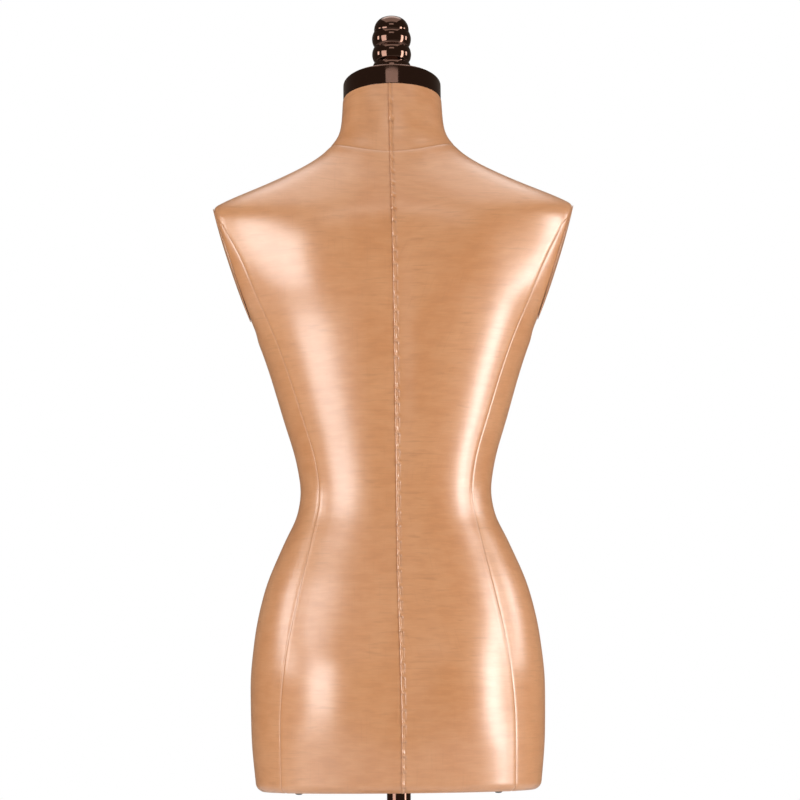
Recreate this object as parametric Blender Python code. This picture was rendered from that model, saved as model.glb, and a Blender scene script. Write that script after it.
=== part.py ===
"""Dress form mannequin: a covered torso that turns and rises on a clamped telescopic stand.

Metres, +Z up, the front of the torso faces -Y. The pole's axis is the Z axis and the floor is z = 0.
Heights on the torso are measured from its hem.
"""

import math

import bmesh
import bpy
import numpy as np
from mathutils import Matrix, Vector

MM = 0.001
FIT = 0.0003  # gap between touching pieces
SIDES = 20  # facets round a turned piece

# Overall sizes
HEM_HEIGHT = 0.760
GRADE = 1.0  # widths and depths of the torso, 1 is a small size
BASE_DIAMETER = 0.340

# Stand
PAD_HEIGHT = 0.004
PAD_DIAMETER = 0.030
PAD_INSET = 0.025
PAD_EDGE = 0.0006
PLATE_THICKNESS = 0.010
PLATE_EDGE = 0.002
POLE_DIAMETER = 0.0254
POLE_WALL = 0.0015
POLE_OVERLAP = 0.390  # length of pole inside the tube at rest
PLAY = 0.0003  # running clearance of the pole in its bushes
FOOT_HEAD = 0.015  # length of the pole's foot below the pole
FOOT_PLUG = 0.025  # and inside it
PIVOT_PLUG = 0.030  # length of the pivot inside the pole
PIVOT_FLANGE = 0.004
PIVOT_REVEAL = 0.012  # bare spigot between the pivot's flange and its cup
BUSH_WALL = 0.0012
TUBE_WALL = 0.002
TUBE_DIAMETER = POLE_DIAMETER + 2 * (PLAY + BUSH_WALL + FIT + TUBE_WALL)
TUBE_TOP = 0.690
FLANGE_DIAMETER = 0.080
FLANGE_THICKNESS = 0.006
SOCKET_WALL = 0.006
SOCKET_HEIGHT = 0.046
PLUG_HEIGHT = 0.026
BOLT_DIAMETER = 0.010
BOLT_CLEARANCE = 0.0003
BOLT_HEAD_HEIGHT = 0.0057
BOLT_HEAD_CORNERS = 0.0188  # width of the bolt's head across its corners
COUNTERBORE_DEPTH = 0.006
COUNTERBORE_DIAMETER = 0.026
WASHER_THICKNESS = 0.0017
SCREW_DIAMETER = 0.005
SCREW_LENGTH = 0.012
SCREW_COUNT = 3

# Clamp
COLLAR_WALL = 0.006
COLLAR_HEIGHT = 0.038
COLLAR_LIP = 0.0045
BUSH_LENGTH = 0.035
BUSH_LIP = 0.0025
CLAMP_DROP = 0.015  # clamp's axis below the tube's top
BOSS_DIAMETER = 0.020
BOSS_LENGTH = 0.013
STUD_DIAMETER = 0.008
STUD_LENGTH = 0.032
CLAMP_PAD_DIAMETER = STUD_DIAMETER + 0.001
CLAMP_PAD_LENGTH = 0.007
CLAMP_TRAVEL = 0.0025
KNOB_DIAMETER = 0.046
KNOB_THICKNESS = 0.016
KNOB_HUB_DIAMETER = 0.018
KNOB_HUB_LENGTH = 0.0055
KNOB_LOBES = 5
KNOB_LOBE_DEPTH = 0.0035

# Torso
COVER_THICKNESS = 0.0010
SHELL_WALL = 0.0040
SHELL_GAP = 0.00035  # between cover and shell
SEAM_GAP = 0.0005  # between neighbouring panels
HEM_RADIUS = 0.009
HEM_START = 0.0006  # height on the hem's arc where the cover is cut
BOARD_THICKNESS = 0.012
BOARD_RECESS = 0.0008
BOARD_CLEARANCE = 0.0030  # between the board's edge and the shell's inner face
BOARD_BUSH_WALL = 0.0030
BOARD_BUSH_FLANGE = 0.044
BOARD_BUSH_FLANGE_THICKNESS = 0.0025
GLIDE_DIAMETER = 0.009
GLIDE_DROP = 0.0037
GLIDE_X = 0.105
GLIDE_Y = 0.035

# Armholes: each plate lies in a plane that leans in towards the waist
ARM_PLANE_HEIGHT = 0.499
ARM_PLANE_X = 0.1534
ARM_PLANE_SLOPE = 0.323
ARM_PLANE_FLOOR = 0.495  # the plane turns away below this height
ARM_BLEND = 0.007
ARM_CENTRE_HEIGHT = 0.565
ARM_CENTRE_Y = 0.006
ARM_HALF_DEPTH = 0.048
ARM_HALF_HEIGHT = 0.065
ARM_RIM = 0.0012
ARM_DOME = 0.0044

# Neck, cap and finial
CAP_REVEAL = 0.0006  # cap's edge inside the neck's
CAP_HEIGHT = 0.0235
CAP_WALL = 0.0012
CAP_EDGE = 0.0020
BLOCK_THICKNESS = 0.014
HUB_DIAMETER = 0.056
BLOCK_CLEARANCE = 0.0020
HUB_DROP = 0.052  # hub's flat below the cap's lower plane
TNUT_FLANGE_DIAMETER = 0.022
TNUT_FLANGE_THICKNESS = 0.002
TNUT_WALL = 0.0009
TNUT_BARREL_HEIGHT = 0.012
TNUT_RECESS = 0.0140
CUP_DIAMETER = 0.044
CUP_HEIGHT = 0.0137
PIVOT_DIAMETER = 0.0204
PIVOT_LENGTH = 0.0204
SEAT_DIAMETER = 0.038
SEAT_RISE = 0.0058  # seat's flat above the middle of the cap's top
FINIAL_WASHER_THICKNESS = 0.0015
FINIAL_HEIGHT = 0.0655
FINIAL_DOME_RADIUS = 0.019
FINIAL_DOME_HEIGHT = 0.0165
FINIAL_FIRST_BEAD = 0.0256  # middle of the first bead below the top
FINIAL_BEAD_RADIUS = 0.0198
FINIAL_BEAD_SWELL = 0.0016
FINIAL_BEAD_PITCH = 0.0172
FINIAL_STEPS = 13  # points down the beads
FINIAL_STUD_DEPTH = 0.020  # stud inside the finial
FINIAL_STUD_REST = 0.006  # stud's foot above the hub's flat
FINIAL_WASHER_DIAMETER = 0.034

# Sections of the torso, in millimetres: height, half width, front depth, back depth, centre, fall of the
# section's front below its sides, fall of its back. Between the waist and the shoulder the half width is
# that of the rounded body which the armhole planes cut.
SECTIONS = (
    (0, 151, 98, 110, 5, 0, 0),
    (60, 156.2, 103, 118, 4, 0, 0),
    (110, 157, 104, 118, 3, 0, 0),
    (160, 152.6, 102, 111, 2, 0, 0),
    (210, 142, 97, 101, 1, 0, 0),
    (265, 119.5, 90, 89, 0, 0, 0),
    (295, 105.6, 86, 84, 0, 0, 0),
    (318, 102.2, 84, 82, 0, 0, 0),
    (345, 105.8, 86, 83, 0, 0, 0),
    (395, 120, 94, 88, 0, 0, 0),
    (470, 143.2, 114, 96, 1, 0, 0),
    (500, 156, 116, 99, 3, 0, 0),
    (540, 186, 107, 102, 5, 0, 0),
    (580, 206.5, 91, 103, 7, 3, 1),
    (605, 211, 81, 101, 8, 8, 3),
    (619.5, 205, 74, 98, 9, 13, 5),
    (628, 189.5, 70, 95.5, 9, 18, 6),
    (648, 137.8, 62, 89.5, 11, 31, 9.5),
    (674, 83.3, 51, 80, 14, 43, 12),
    (687, 67.8, 46, 75.5, 14.5, 46, 12),
    (702, 58, 43.2, 68, 12, 37.7, 4.2),
    (719, 55.1, 45.2, 62, 8.5, 28.8, -4.1),
    (742, 53.9, 51.5, 51.5, 0, 12.1, -12.1),
)
SECTION_FULLNESS = 0.045
SMOOTHING = 6  # spread of the blend along the height, in millimetres

# Swells and hollows: (x, height), (spread in x, spread in height), rise, side (-1 front, +1 back)
SWELLS = (
    ((0.080, 0.482), (0.052, 0.066), 0.030, -1),
    ((0.066, 0.105), (0.048, 0.055), 0.008, 1),
    ((0.082, 0.560), (0.042, 0.048), 0.005, 1),
    ((0.000, 0.440), (0.020, 0.140), -0.004, 1),
    ((0.000, 0.175), (0.060, 0.070), 0.005, -1),
)
SWELL_FLATNESS = 1.2

# Seams, as (height, distance from the middle) in millimetres
BACK_SEAM = ((0, 122), (70, 122.5), (130, 118), (200, 104), (265, 89), (313, 80.5), (345, 84),
             (390, 97), (471, 123.5), (528, 148), (565, 163), (600, 182))
FRONT_SEAM = ((0, 104), (100, 102), (200, 86), (317, 66), (400, 76), (480, 86), (530, 104), (570, 140),
              (600, 176))
SEAM_TOP_HEIGHT = 0.600
SEAM_END_HEIGHT = 0.621
SEAM_END_ANGLE = 80.0

# The torso's mesh: heights of its rings in millimetres, and columns from the middle to the princess seam
# and from there to the side seam
RINGS = (0, 5, 16, 70, 130, 190, 240, 280, 318, 355, 400, 445, 484, 524, 565, 600, 614, 621,
         628, 641, 663, 687, 711, 742)
SIDE_TOP_RING = 614
SHOULDER_RING = 621
NECK_RING = 687
WIDE_COLUMNS = 4
NARROW_COLUMNS = 3

FINISHES = {
    "linen": ((0.631, 0.305, 0.127), 0.0, 0.45),
    "moulding": ((0.30, 0.24, 0.16), 0.0, 0.7),
    "timber": ((0.42, 0.27, 0.14), 0.0, 0.6),
    "dark_chrome": ((0.11, 0.085, 0.075), 1.0, 0.12),
    "steel": ((0.55, 0.55, 0.56), 1.0, 0.35),
    "black_paint": ((0.02, 0.018, 0.017), 0.2, 0.4),
    "black_plastic": ((0.02, 0.02, 0.02), 0.0, 0.45),
    "nylon": ((0.75, 0.72, 0.65), 0.0, 0.5),
    "rubber": ((0.03, 0.03, 0.03), 0.0, 0.85),
    "brass": ((0.70, 0.48, 0.20), 1.0, 0.3),
}


def clear_scene():
    for obj in list(bpy.data.objects):
        bpy.data.objects.remove(obj, do_unlink=True)


# Materials and objects


def material(name):
    found = bpy.data.materials.get(name)
    if found:
        return found
    colour, metallic, roughness = FINISHES[name]
    made = bpy.data.materials.new(name)
    made.use_nodes = True
    shader = made.node_tree.nodes["Principled BSDF"]
    shader.inputs["Base Color"].default_value = (*colour, 1.0)
    shader.inputs["Metallic"].default_value = metallic
    shader.inputs["Roughness"].default_value = roughness
    return made


def axis_empty(name, location, rotation=(0.0, 0.0, 0.0), parent=None):
    empty = bpy.data.objects.new(name, None)
    bpy.context.scene.collection.objects.link(empty)
    empty.parent = parent
    empty.location = location
    empty.rotation_euler = rotation
    return empty


def add_object(name, work, finish, parent=None, location=(0.0, 0.0, 0.0), rotation=(0.0, 0.0, 0.0)):
    """Turns a bmesh into a shaded object under its parent."""
    mesh = bpy.data.meshes.new(name)
    work.to_mesh(mesh)
    work.free()
    mesh.shade_smooth()
    mesh.set_sharp_from_angle(angle=math.radians(32))
    if finish:
        mesh.materials.append(material(finish))
    obj = bpy.data.objects.new(name, mesh)
    bpy.context.scene.collection.objects.link(obj)
    obj.parent = parent
    obj.location = location
    obj.rotation_euler = rotation
    return obj


def turned_mesh(profile, sides=SIDES):
    """Spins (radius, height) points about Z. A profile that stays off the axis closes into a ring."""
    work = bmesh.new()
    points = [work.verts.new((radius, 0.0, height)) for radius, height in profile]
    ends = list(zip(points, points[1:]))
    if profile[0][0] > 0 and profile[-1][0] > 0:
        ends.append((points[-1], points[0]))
    edges = [work.edges.new(pair) for pair in ends]
    bmesh.ops.spin(work, geom=points + edges, cent=(0, 0, 0), axis=(0, 0, 1), angle=2 * math.pi,
                   steps=sides, use_merge=True)
    bmesh.ops.remove_doubles(work, verts=work.verts, dist=1e-6)
    bmesh.ops.recalc_face_normals(work, faces=work.faces)
    return work


def turned(name, profile, finish, parent=None, location=(0.0, 0.0, 0.0), sides=SIDES):
    return add_object(name, turned_mesh(profile, sides), finish, parent, location)


def arc(centre, radius, start, end, steps=3):
    """Points of a fillet in a profile, from start to end degrees, 0 outwards and 90 up."""
    angles = np.radians(np.linspace(start, end, steps + 1))
    return [(centre[0] + radius * math.cos(a), centre[1] + radius * math.sin(a)) for a in angles]


def boolean(obj, other, operation="DIFFERENCE"):
    modifier = obj.modifiers.new(operation.lower(), "BOOLEAN")
    modifier.operation = operation
    modifier.object = other
    other.hide_render = True
    other.display_type = "WIRE"


def rod_cutter(name, radius, low, high, parent=None, location=(0.0, 0.0, 0.0), rotation=(0.0, 0.0, 0.0),
               sides=SIDES):
    profile = [(0.0, low), (radius, low), (radius, high), (0.0, high)]
    return add_object(name, turned_mesh(profile, sides), None, parent, location, rotation)


# The torso's surface


class Curve:
    """A smooth curve through points: monotone cubics between them, then a blend along the height."""

    def __init__(self, heights, values, smoothing=SMOOTHING):
        heights = np.asarray(heights, float)
        values = np.asarray(values, float)
        slopes = self._slopes(heights, values)
        reach = 4 * smoothing
        self.grid = np.arange(heights[0] - reach, heights[-1] + reach + 1.0)
        inside = np.clip(self.grid, heights[0], heights[-1])
        dense = self._hermite(heights, values, slopes, inside)
        dense += np.where(self.grid < heights[0], slopes[0], slopes[-1]) * (self.grid - inside)
        steps = np.arange(-reach, reach + 1.0)
        kernel = np.exp(-0.5 * (steps / smoothing) ** 2)
        self.values = np.convolve(dense, kernel / kernel.sum(), mode="same")
        self.values[:reach] = dense[:reach]
        self.values[-reach:] = dense[-reach:]

    @staticmethod
    def _slopes(heights, values):
        steps = np.diff(heights)
        grades = np.diff(values) / steps
        slopes = np.concatenate(([grades[0]], np.zeros(len(steps) - 1), [grades[-1]]))
        for i in range(1, len(steps)):
            before, after = grades[i - 1], grades[i]
            if before * after > 0:
                first = 2 * steps[i] + steps[i - 1]
                second = steps[i] + 2 * steps[i - 1]
                slopes[i] = (first + second) / (first / before + second / after)
        return slopes

    @staticmethod
    def _hermite(heights, values, slopes, at):
        i = np.clip(np.searchsorted(heights, at, side="right") - 1, 0, len(heights) - 2)
        step = heights[i + 1] - heights[i]
        t = (at - heights[i]) / step
        rise = values[i] * (1 + 2 * t) * (1 - t) ** 2 + values[i + 1] * t * t * (3 - 2 * t)
        return rise + step * (slopes[i] * t * (1 - t) ** 2 - slopes[i + 1] * t * t * (1 - t))

    def at(self, height):
        """The value at a height in metres, in metres."""
        return float(np.interp(height / MM, self.grid, self.values)) * MM


SECTION_COLUMNS = list(zip(*SECTIONS))
HALF_WIDTH, FRONT, BACK, CENTRE, FRONT_FALL, BACK_FALL = (
    Curve(SECTION_COLUMNS[0], column) for column in SECTION_COLUMNS[1:]
)
SEAM_CURVES = [Curve(*zip(*points), smoothing=10) for points in (BACK_SEAM, FRONT_SEAM)]
NECK_TOP = SECTIONS[-1][0] * MM
NECK_RADIUS = SECTIONS[-1][1] * MM * GRADE
CAP_TILT = math.atan(SECTIONS[-1][5] / (SECTIONS[-1][2] * GRADE))  # the slope of the neck's top


def arm_plane_x(height):
    """How far out the armhole plane lies. Below its floor it runs away outwards."""
    below = max(0.0, ARM_PLANE_FLOOR - height)
    return GRADE * (ARM_PLANE_X + ARM_PLANE_SLOPE * (height - ARM_PLANE_HEIGHT)) + 20 * below**2


def smooth_min(a, b, blend):
    share = max(0.0, 1.0 - abs(a - b) / blend)
    return min(a, b) - 0.25 * blend * share**2


def hem_inset(height):
    """How far the rounded hem draws in."""
    rest = max(0.0, HEM_RADIUS - HEM_START - height)
    return HEM_RADIUS - math.sqrt(HEM_RADIUS**2 - rest**2)


def swell(x, height, facing):
    total = 0.0
    for (across, up), (spread_x, spread_up), rise, side in SWELLS:
        if side * facing <= 0:
            continue
        reach = ((abs(x) / GRADE - across) / spread_x) ** 2 + ((height - up) / spread_up) ** 2
        bell = math.exp(-(reach**SWELL_FLATNESS))
        total += side * rise * bell * min(1.0, abs(facing) * 2.5)
    return total


def surface(height, angle):
    """The cover's outer face. The angle runs from the middle of the back (0) over +X to the front (180)."""
    inset = hem_inset(height)
    side, facing = math.sin(math.radians(angle)), math.cos(math.radians(angle))
    centre = CENTRE.at(height)
    depth = BACK.at(height) - centre if facing > 0 else FRONT.at(height) + centre
    full = 1 + SECTION_FULLNESS * (2 * side * facing) ** 2
    mean = 0.5 * (FRONT_FALL.at(height) + BACK_FALL.at(height))
    tilt = 0.5 * (FRONT_FALL.at(height) - BACK_FALL.at(height))
    z = height - mean * facing**2 + tilt * facing
    x = (HALF_WIDTH.at(height) * GRADE - inset) * side * full
    y = GRADE * (centre + depth * facing * full + swell(x, z, facing)) - inset * facing * full
    x = math.copysign(smooth_min(abs(x), arm_plane_x(z), ARM_BLEND), side)
    return Vector((x, y, z))


def offset_point(height, angle, depth):
    """A point under the cover's outer face, along its normal."""
    step, turn = 0.0008, 0.4
    low, high = max(0.0, height - step), min(NECK_TOP, height + step)
    around = surface(height, angle + turn) - surface(height, angle - turn)
    up = surface(high, angle) - surface(low, angle)
    normal = up.cross(around).normalized()
    return surface(height, angle) - normal * depth


def seam_angle(height, which):
    """Angle from the nearer middle (back 0, front 1) at which a princess seam crosses a ring."""
    if height > SEAM_TOP_HEIGHT:
        start = seam_angle(SEAM_TOP_HEIGHT, which)
        share = min(1.0, (height - SEAM_TOP_HEIGHT) / (SEAM_END_HEIGHT - SEAM_TOP_HEIGHT))
        return start + (SEAM_END_ANGLE - start) * share
    target = SEAM_CURVES[which].at(height) * GRADE
    low, high = 0.0, 85.0
    for _ in range(30):
        middle = 0.5 * (low + high)
        side = math.sin(math.radians(middle))
        full = 1 + SECTION_FULLNESS * math.sin(math.radians(2 * middle)) ** 2
        reached = HALF_WIDTH.at(height) * GRADE * side * full
        low, high = (middle, high) if reached < target else (low, middle)
    return low


COLUMN_COUNTS = (WIDE_COLUMNS, NARROW_COLUMNS, NARROW_COLUMNS, WIDE_COLUMNS)
HALF_COLUMNS = sum(COLUMN_COUNTS)
COLUMNS = 2 * HALF_COLUMNS


def column_angles(height):
    """Angles of the mesh columns round one ring, from the middle of the back over +X and on to -X."""
    back, front = seam_angle(height, 0), seam_angle(height, 1)
    stops = (0.0, back, 90.0, 180.0 - front, 180.0)
    half = []
    for start, end, count in zip(stops, stops[1:], COLUMN_COUNTS):
        half += [start + (end - start) * i / count for i in range(count)]
    return half + [180.0] + [360.0 - angle for angle in reversed(half[1:])]


ANGLES = {ring: column_angles(ring * MM) for ring in RINGS}


def seam_reach(row, column):
    """Distance square to a seam that one degree along its ring covers."""
    rows = (max(row - 1, 0), min(row + 1, len(RINGS) - 1))
    low, high = (surface(RINGS[i] * MM, ANGLES[RINGS[i]][column]) for i in rows)
    along = (high - low).normalized()
    height, angle = RINGS[row] * MM, ANGLES[RINGS[row]][column]
    step = surface(height, angle + 1.0) - surface(height, angle)
    return max((step - along * step.dot(along)).length, 0.3 * step.length)


def cell_solid(cells, outer, inner, gap=0.0):
    """A closed sheet over mesh cells (ring index, column), between two depths under the outer face.

    Its free edges draw back by half the seam gap.
    """
    work = bmesh.new()
    grids = {}

    def point(row, column):
        key = (row, column % COLUMNS)
        if key in grids:
            return grids[key]
        around = [(row - 1, key[1]), (row, key[1])]
        before = [(r, (c - 1) % COLUMNS) for r, c in around]
        right = any(cell in cells for cell in around)
        left = any(cell in cells for cell in before)
        above = any(cell in cells for cell in (around[1], before[1]))
        below = any(cell in cells for cell in (around[0], before[0]))
        height, angle = RINGS[row] * MM, ANGLES[RINGS[row]][key[1]]
        if right != left:
            angle += 0.5 * gap / seam_reach(row, key[1]) * (int(right) - int(left))
        if RINGS[row] == NECK_RING and above != below:
            height += 0.5 * gap * (int(above) - int(below))
        grids[key] = [work.verts.new(offset_point(height, angle, depth)) for depth in (outer, inner)]
        return grids[key]

    borders = {}
    for row, column in sorted(cells):
        corners = [(row, column), (row, column + 1), (row + 1, column + 1), (row + 1, column)]
        points = [point(*corner) for corner in corners]
        for half in ((0, 1, 2), (0, 2, 3)):
            work.faces.new([points[i][0] for i in half])
            work.faces.new([points[i][1] for i in reversed(half)])
        for a, b in zip(corners, corners[1:] + corners[:1]):
            start, end = (a[0], a[1] % COLUMNS), (b[0], b[1] % COLUMNS)
            if (end, start) in borders:
                del borders[(end, start)]
            else:
                borders[(start, end)] = None
    for start, end in borders:
        (outer_a, inner_a), (outer_b, inner_b) = grids[start], grids[end]
        work.faces.new([outer_b, outer_a, inner_a, inner_b])
    bmesh.ops.recalc_face_normals(work, faces=work.faces)
    return work


def cells_between(low_ring, high_ring, first_column, last_column):
    rows = range(RINGS.index(low_ring), RINGS.index(high_ring))
    return {(row, column % COLUMNS) for row in rows for column in range(first_column, last_column)}


# Stand

PLATE_TOP = PAD_HEIGHT + PLATE_THICKNESS
TUBE_RADIUS = TUBE_DIAMETER / 2
POLE_RADIUS = POLE_DIAMETER / 2
TUBE_FOOT = PLATE_TOP + FIT
FLANGE_SCREW_RADIUS = (TUBE_RADIUS + SOCKET_WALL + FLANGE_DIAMETER / 2) / 2


def base_plate():
    radius, edge = BASE_DIAMETER / 2, PLATE_EDGE
    hole, bore = BOLT_DIAMETER / 2 + BOLT_CLEARANCE, COUNTERBORE_DIAMETER / 2
    ceiling = PAD_HEIGHT + COUNTERBORE_DEPTH
    profile = [(hole, ceiling), (bore, ceiling), (bore, PAD_HEIGHT)]
    profile += arc((radius - edge, PAD_HEIGHT + edge), edge, -90, 0, 2)
    profile += arc((radius - edge, PLATE_TOP - edge), edge, 0, 90, 2)
    profile += [(hole, PLATE_TOP)]
    plate = turned("base_plate", profile, "black_paint", sides=36)
    for index in range(SCREW_COUNT):
        boolean(plate, screw_cutter(index, "plate", PLATE_TOP + FLANGE_THICKNESS - SCREW_LENGTH - 2 * FIT,
                                    PLATE_TOP + 0.001))


def screw_place(index):
    turn = math.radians(90 + 360 * index / SCREW_COUNT)
    return (FLANGE_SCREW_RADIUS * math.cos(turn), FLANGE_SCREW_RADIUS * math.sin(turn), 0.0)


def screw_cutter(index, owner, low, high):
    return rod_cutter(f"{owner}_hole_{index + 1}", SCREW_DIAMETER / 2 + FIT, low, high,
                      location=screw_place(index), sides=12)


def base_pads():
    radius, top, edge = PAD_DIAMETER / 2, PAD_HEIGHT - FIT, PAD_EDGE
    reach = (BASE_DIAMETER / 2 - PAD_INSET) / math.sqrt(2)
    profile = [(0, 0), (radius - edge, 0), (radius, edge), (radius, top), (0, top)]
    for index, (side, depth) in enumerate(((1, -1), (-1, -1), (-1, 1), (1, 1))):
        place = (side * reach, depth * reach, 0)
        turned(f"base_pad_{index + 1}", profile, "rubber", location=place, sides=20)


def base_flange():
    low = TUBE_FOOT
    step, top = low + FLANGE_THICKNESS, low + SOCKET_HEIGHT
    bore, socket, rim = TUBE_RADIUS + FIT, TUBE_RADIUS + SOCKET_WALL, FLANGE_DIAMETER / 2
    profile = [(bore, low), (rim, low), (rim, step - 0.0015), (rim - 0.0015, step)]
    profile += arc((socket + 0.003, step + 0.003), 0.003, 270, 180, 2)
    profile += arc((socket - 0.0015, top - 0.0015), 0.0015, 0, 90, 2)
    profile += [(bore, top)]
    flange = turned("base_flange", profile, "dark_chrome")
    for index in range(SCREW_COUNT):
        boolean(flange, screw_cutter(index, "flange", low - 0.001, step + 0.001))
        flange_screw(index, step + FIT)


def flange_screw(index, seat):
    shank, head = SCREW_DIAMETER / 2, SCREW_DIAMETER * 0.9
    low, top = FIT - SCREW_LENGTH, 0.0028
    profile = [(0, low), (shank - 0.0005, low), (shank, low + 0.0005), (shank, 0), (head, 0), (head, 0.0008)]
    profile += [(head * 0.8, 0.0021), (head * 0.45, top), (0, top)]
    place = Vector(screw_place(index)) + Vector((0, 0, seat))
    turned(f"flange_screw_{index + 1}", profile, "steel", location=place, sides=12)


def tube_plug():
    radius, bore = TUBE_RADIUS - TUBE_WALL - FIT, BOLT_DIAMETER / 2 + BOLT_CLEARANCE
    profile = [(bore, 0), (radius, 0), (radius, PLUG_HEIGHT), (bore, PLUG_HEIGHT)]
    turned("tube_plug", profile, "steel", location=(0, 0, TUBE_FOOT), sides=20)


def base_fastener():
    ceiling = PAD_HEIGHT + COUNTERBORE_DEPTH - FIT
    outer, hole = COUNTERBORE_DIAMETER / 2 - 0.001, BOLT_DIAMETER / 2 + BOLT_CLEARANCE
    low = ceiling - WASHER_THICKNESS
    turned("base_washer", [(hole, low), (outer, low), (outer, ceiling), (hole, ceiling)], "steel", sides=20)
    seat = low - FIT
    corner, foot = BOLT_HEAD_CORNERS / 2, seat - BOLT_HEAD_HEIGHT
    head = turned_mesh([(0, foot), (corner, foot), (corner, seat), (0, seat)], 6)
    bolt = add_object("base_bolt", head, "steel")
    top = TUBE_FOOT + PLUG_HEIGHT - 0.004
    boolean(bolt, rod_cutter("bolt_shank", BOLT_DIAMETER / 2, seat - 0.002, top, sides=20), "UNION")


def outer_tube():
    inner = TUBE_RADIUS - TUBE_WALL
    profile = [(inner, TUBE_FOOT), (TUBE_RADIUS, TUBE_FOOT), (TUBE_RADIUS, TUBE_TOP), (inner, TUBE_TOP)]
    tube = turned("outer_tube", profile, "dark_chrome")
    boolean(tube, clamp_hole("tube_clamp_hole", CLAMP_PAD_DIAMETER / 2 + FIT, 0.0, TUBE_RADIUS + 0.002))


def guide_bush():
    bore, sleeve = POLE_RADIUS + PLAY, TUBE_RADIUS - TUBE_WALL - FIT
    lip, seat = TUBE_RADIUS, TUBE_TOP + FIT
    profile = [(bore, TUBE_TOP - BUSH_LENGTH), (sleeve, TUBE_TOP - BUSH_LENGTH), (sleeve, seat), (lip, seat)]
    profile += [(lip, seat + BUSH_LIP), (bore, seat + BUSH_LIP)]
    bush = turned("guide_bush", profile, "nylon")
    boolean(bush, clamp_hole("bush_clamp_hole", CLAMP_PAD_DIAMETER / 2 + FIT, 0.0, TUBE_RADIUS + 0.002))


# Clamp: its axis runs out along +X

CLAMP_HEIGHT = TUBE_TOP - CLAMP_DROP
ALONG_X = (0.0, math.pi / 2, 0.0)
PAD_START = POLE_RADIUS + PLAY
STUD_START = PAD_START + CLAMP_PAD_LENGTH + FIT
POCKET_END = STUD_START + CLAMP_TRAVEL + 0.001
COLLAR_RADIUS = TUBE_RADIUS + COLLAR_WALL
BOSS_END = COLLAR_RADIUS + BOSS_LENGTH


def clamp_hole(name, radius, low, high):
    return rod_cutter(name, radius, low, high, location=(0, 0, CLAMP_HEIGHT), rotation=ALONG_X, sides=20)


def clamp_collar():
    ceiling = TUBE_TOP + FIT + BUSH_LIP + FIT
    top, bore, lip = ceiling + COLLAR_LIP, TUBE_RADIUS + FIT, POLE_RADIUS + 2 * PLAY
    low = top - COLLAR_HEIGHT
    profile = [(lip, ceiling), (bore, ceiling), (bore, low), (COLLAR_RADIUS - 0.001, low)]
    profile += [(COLLAR_RADIUS, low + 0.001)]
    profile += arc((COLLAR_RADIUS - 0.002, top - 0.002), 0.002, 0, 90, 2)
    profile += [(lip, top)]
    collar = turned("clamp_collar", profile, "dark_chrome")
    boss = clamp_hole("clamp_boss", BOSS_DIAMETER / 2, TUBE_RADIUS + COLLAR_WALL / 2, BOSS_END)
    boolean(collar, boss, "UNION")
    boolean(collar, clamp_hole("pad_pocket", CLAMP_PAD_DIAMETER / 2 + FIT, 0.0, POCKET_END))
    boolean(collar, clamp_hole("stud_bore", STUD_DIAMETER / 2 + FIT, POCKET_END - 0.002, BOSS_END + 0.002))


def clamp_parts():
    axis = axis_empty("clamp_axis", (0, 0, CLAMP_HEIGHT), ALONG_X)
    radius, length = CLAMP_PAD_DIAMETER / 2, CLAMP_PAD_LENGTH
    pad = [(0, 0), (radius - 0.0005, 0), (radius, 0.0005), (radius, length), (0, length)]
    turned("clamp_pad", pad, "brass", axis, (0, 0, PAD_START), sides=16)
    radius, length = STUD_DIAMETER / 2, STUD_LENGTH
    stud = [(0, 0), (radius - 0.0008, 0), (radius, 0.0008), (radius, length), (0, length)]
    turned("clamp_stud", stud, "steel", axis, (0, 0, STUD_START), sides=16)
    clamp_knob(axis)


def clamp_knob(axis):
    start = BOSS_END + 2 * FIT
    face = start + KNOB_HUB_LENGTH
    work = bmesh.new()
    steps = 6 * KNOB_LOBES
    rim = []
    for index in range(steps):
        turn = 2 * math.pi * index / steps
        radius = (KNOB_DIAMETER - KNOB_LOBE_DEPTH) / 2 + KNOB_LOBE_DEPTH / 2 * math.cos(KNOB_LOBES * turn)
        rim.append(work.verts.new((radius * math.cos(turn), radius * math.sin(turn), face)))
    base = work.faces.new(rim)
    grown = bmesh.ops.extrude_face_region(work, geom=[base])
    raised = [item for item in grown["geom"] if isinstance(item, bmesh.types.BMVert)]
    bmesh.ops.translate(work, verts=raised, vec=(0, 0, KNOB_THICKNESS))
    bmesh.ops.recalc_face_normals(work, faces=work.faces)
    knob = add_object("clamp_knob", work, "black_plastic", axis)
    bevel = knob.modifiers.new("rim", "BEVEL")
    bevel.width = 0.0018
    bevel.segments = 2
    bevel.limit_method = "ANGLE"
    bevel.angle_limit = math.radians(60)
    hub = rod_cutter("knob_hub", KNOB_HUB_DIAMETER / 2, start, face + 0.002, axis, sides=20)
    boolean(knob, hub, "UNION")
    depth = STUD_START + STUD_LENGTH + FIT
    boolean(knob, rod_cutter("knob_bore", STUD_DIAMETER / 2 + FIT, start - 0.002, depth, axis, sides=16))


# Pole: heights are measured from the hem

POLE_TOP = NECK_TOP - HUB_DROP - FIT - CUP_HEIGHT - PIVOT_REVEAL - PIVOT_FLANGE
POLE_FOOT = TUBE_TOP - POLE_OVERLAP - HEM_HEIGHT


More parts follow.
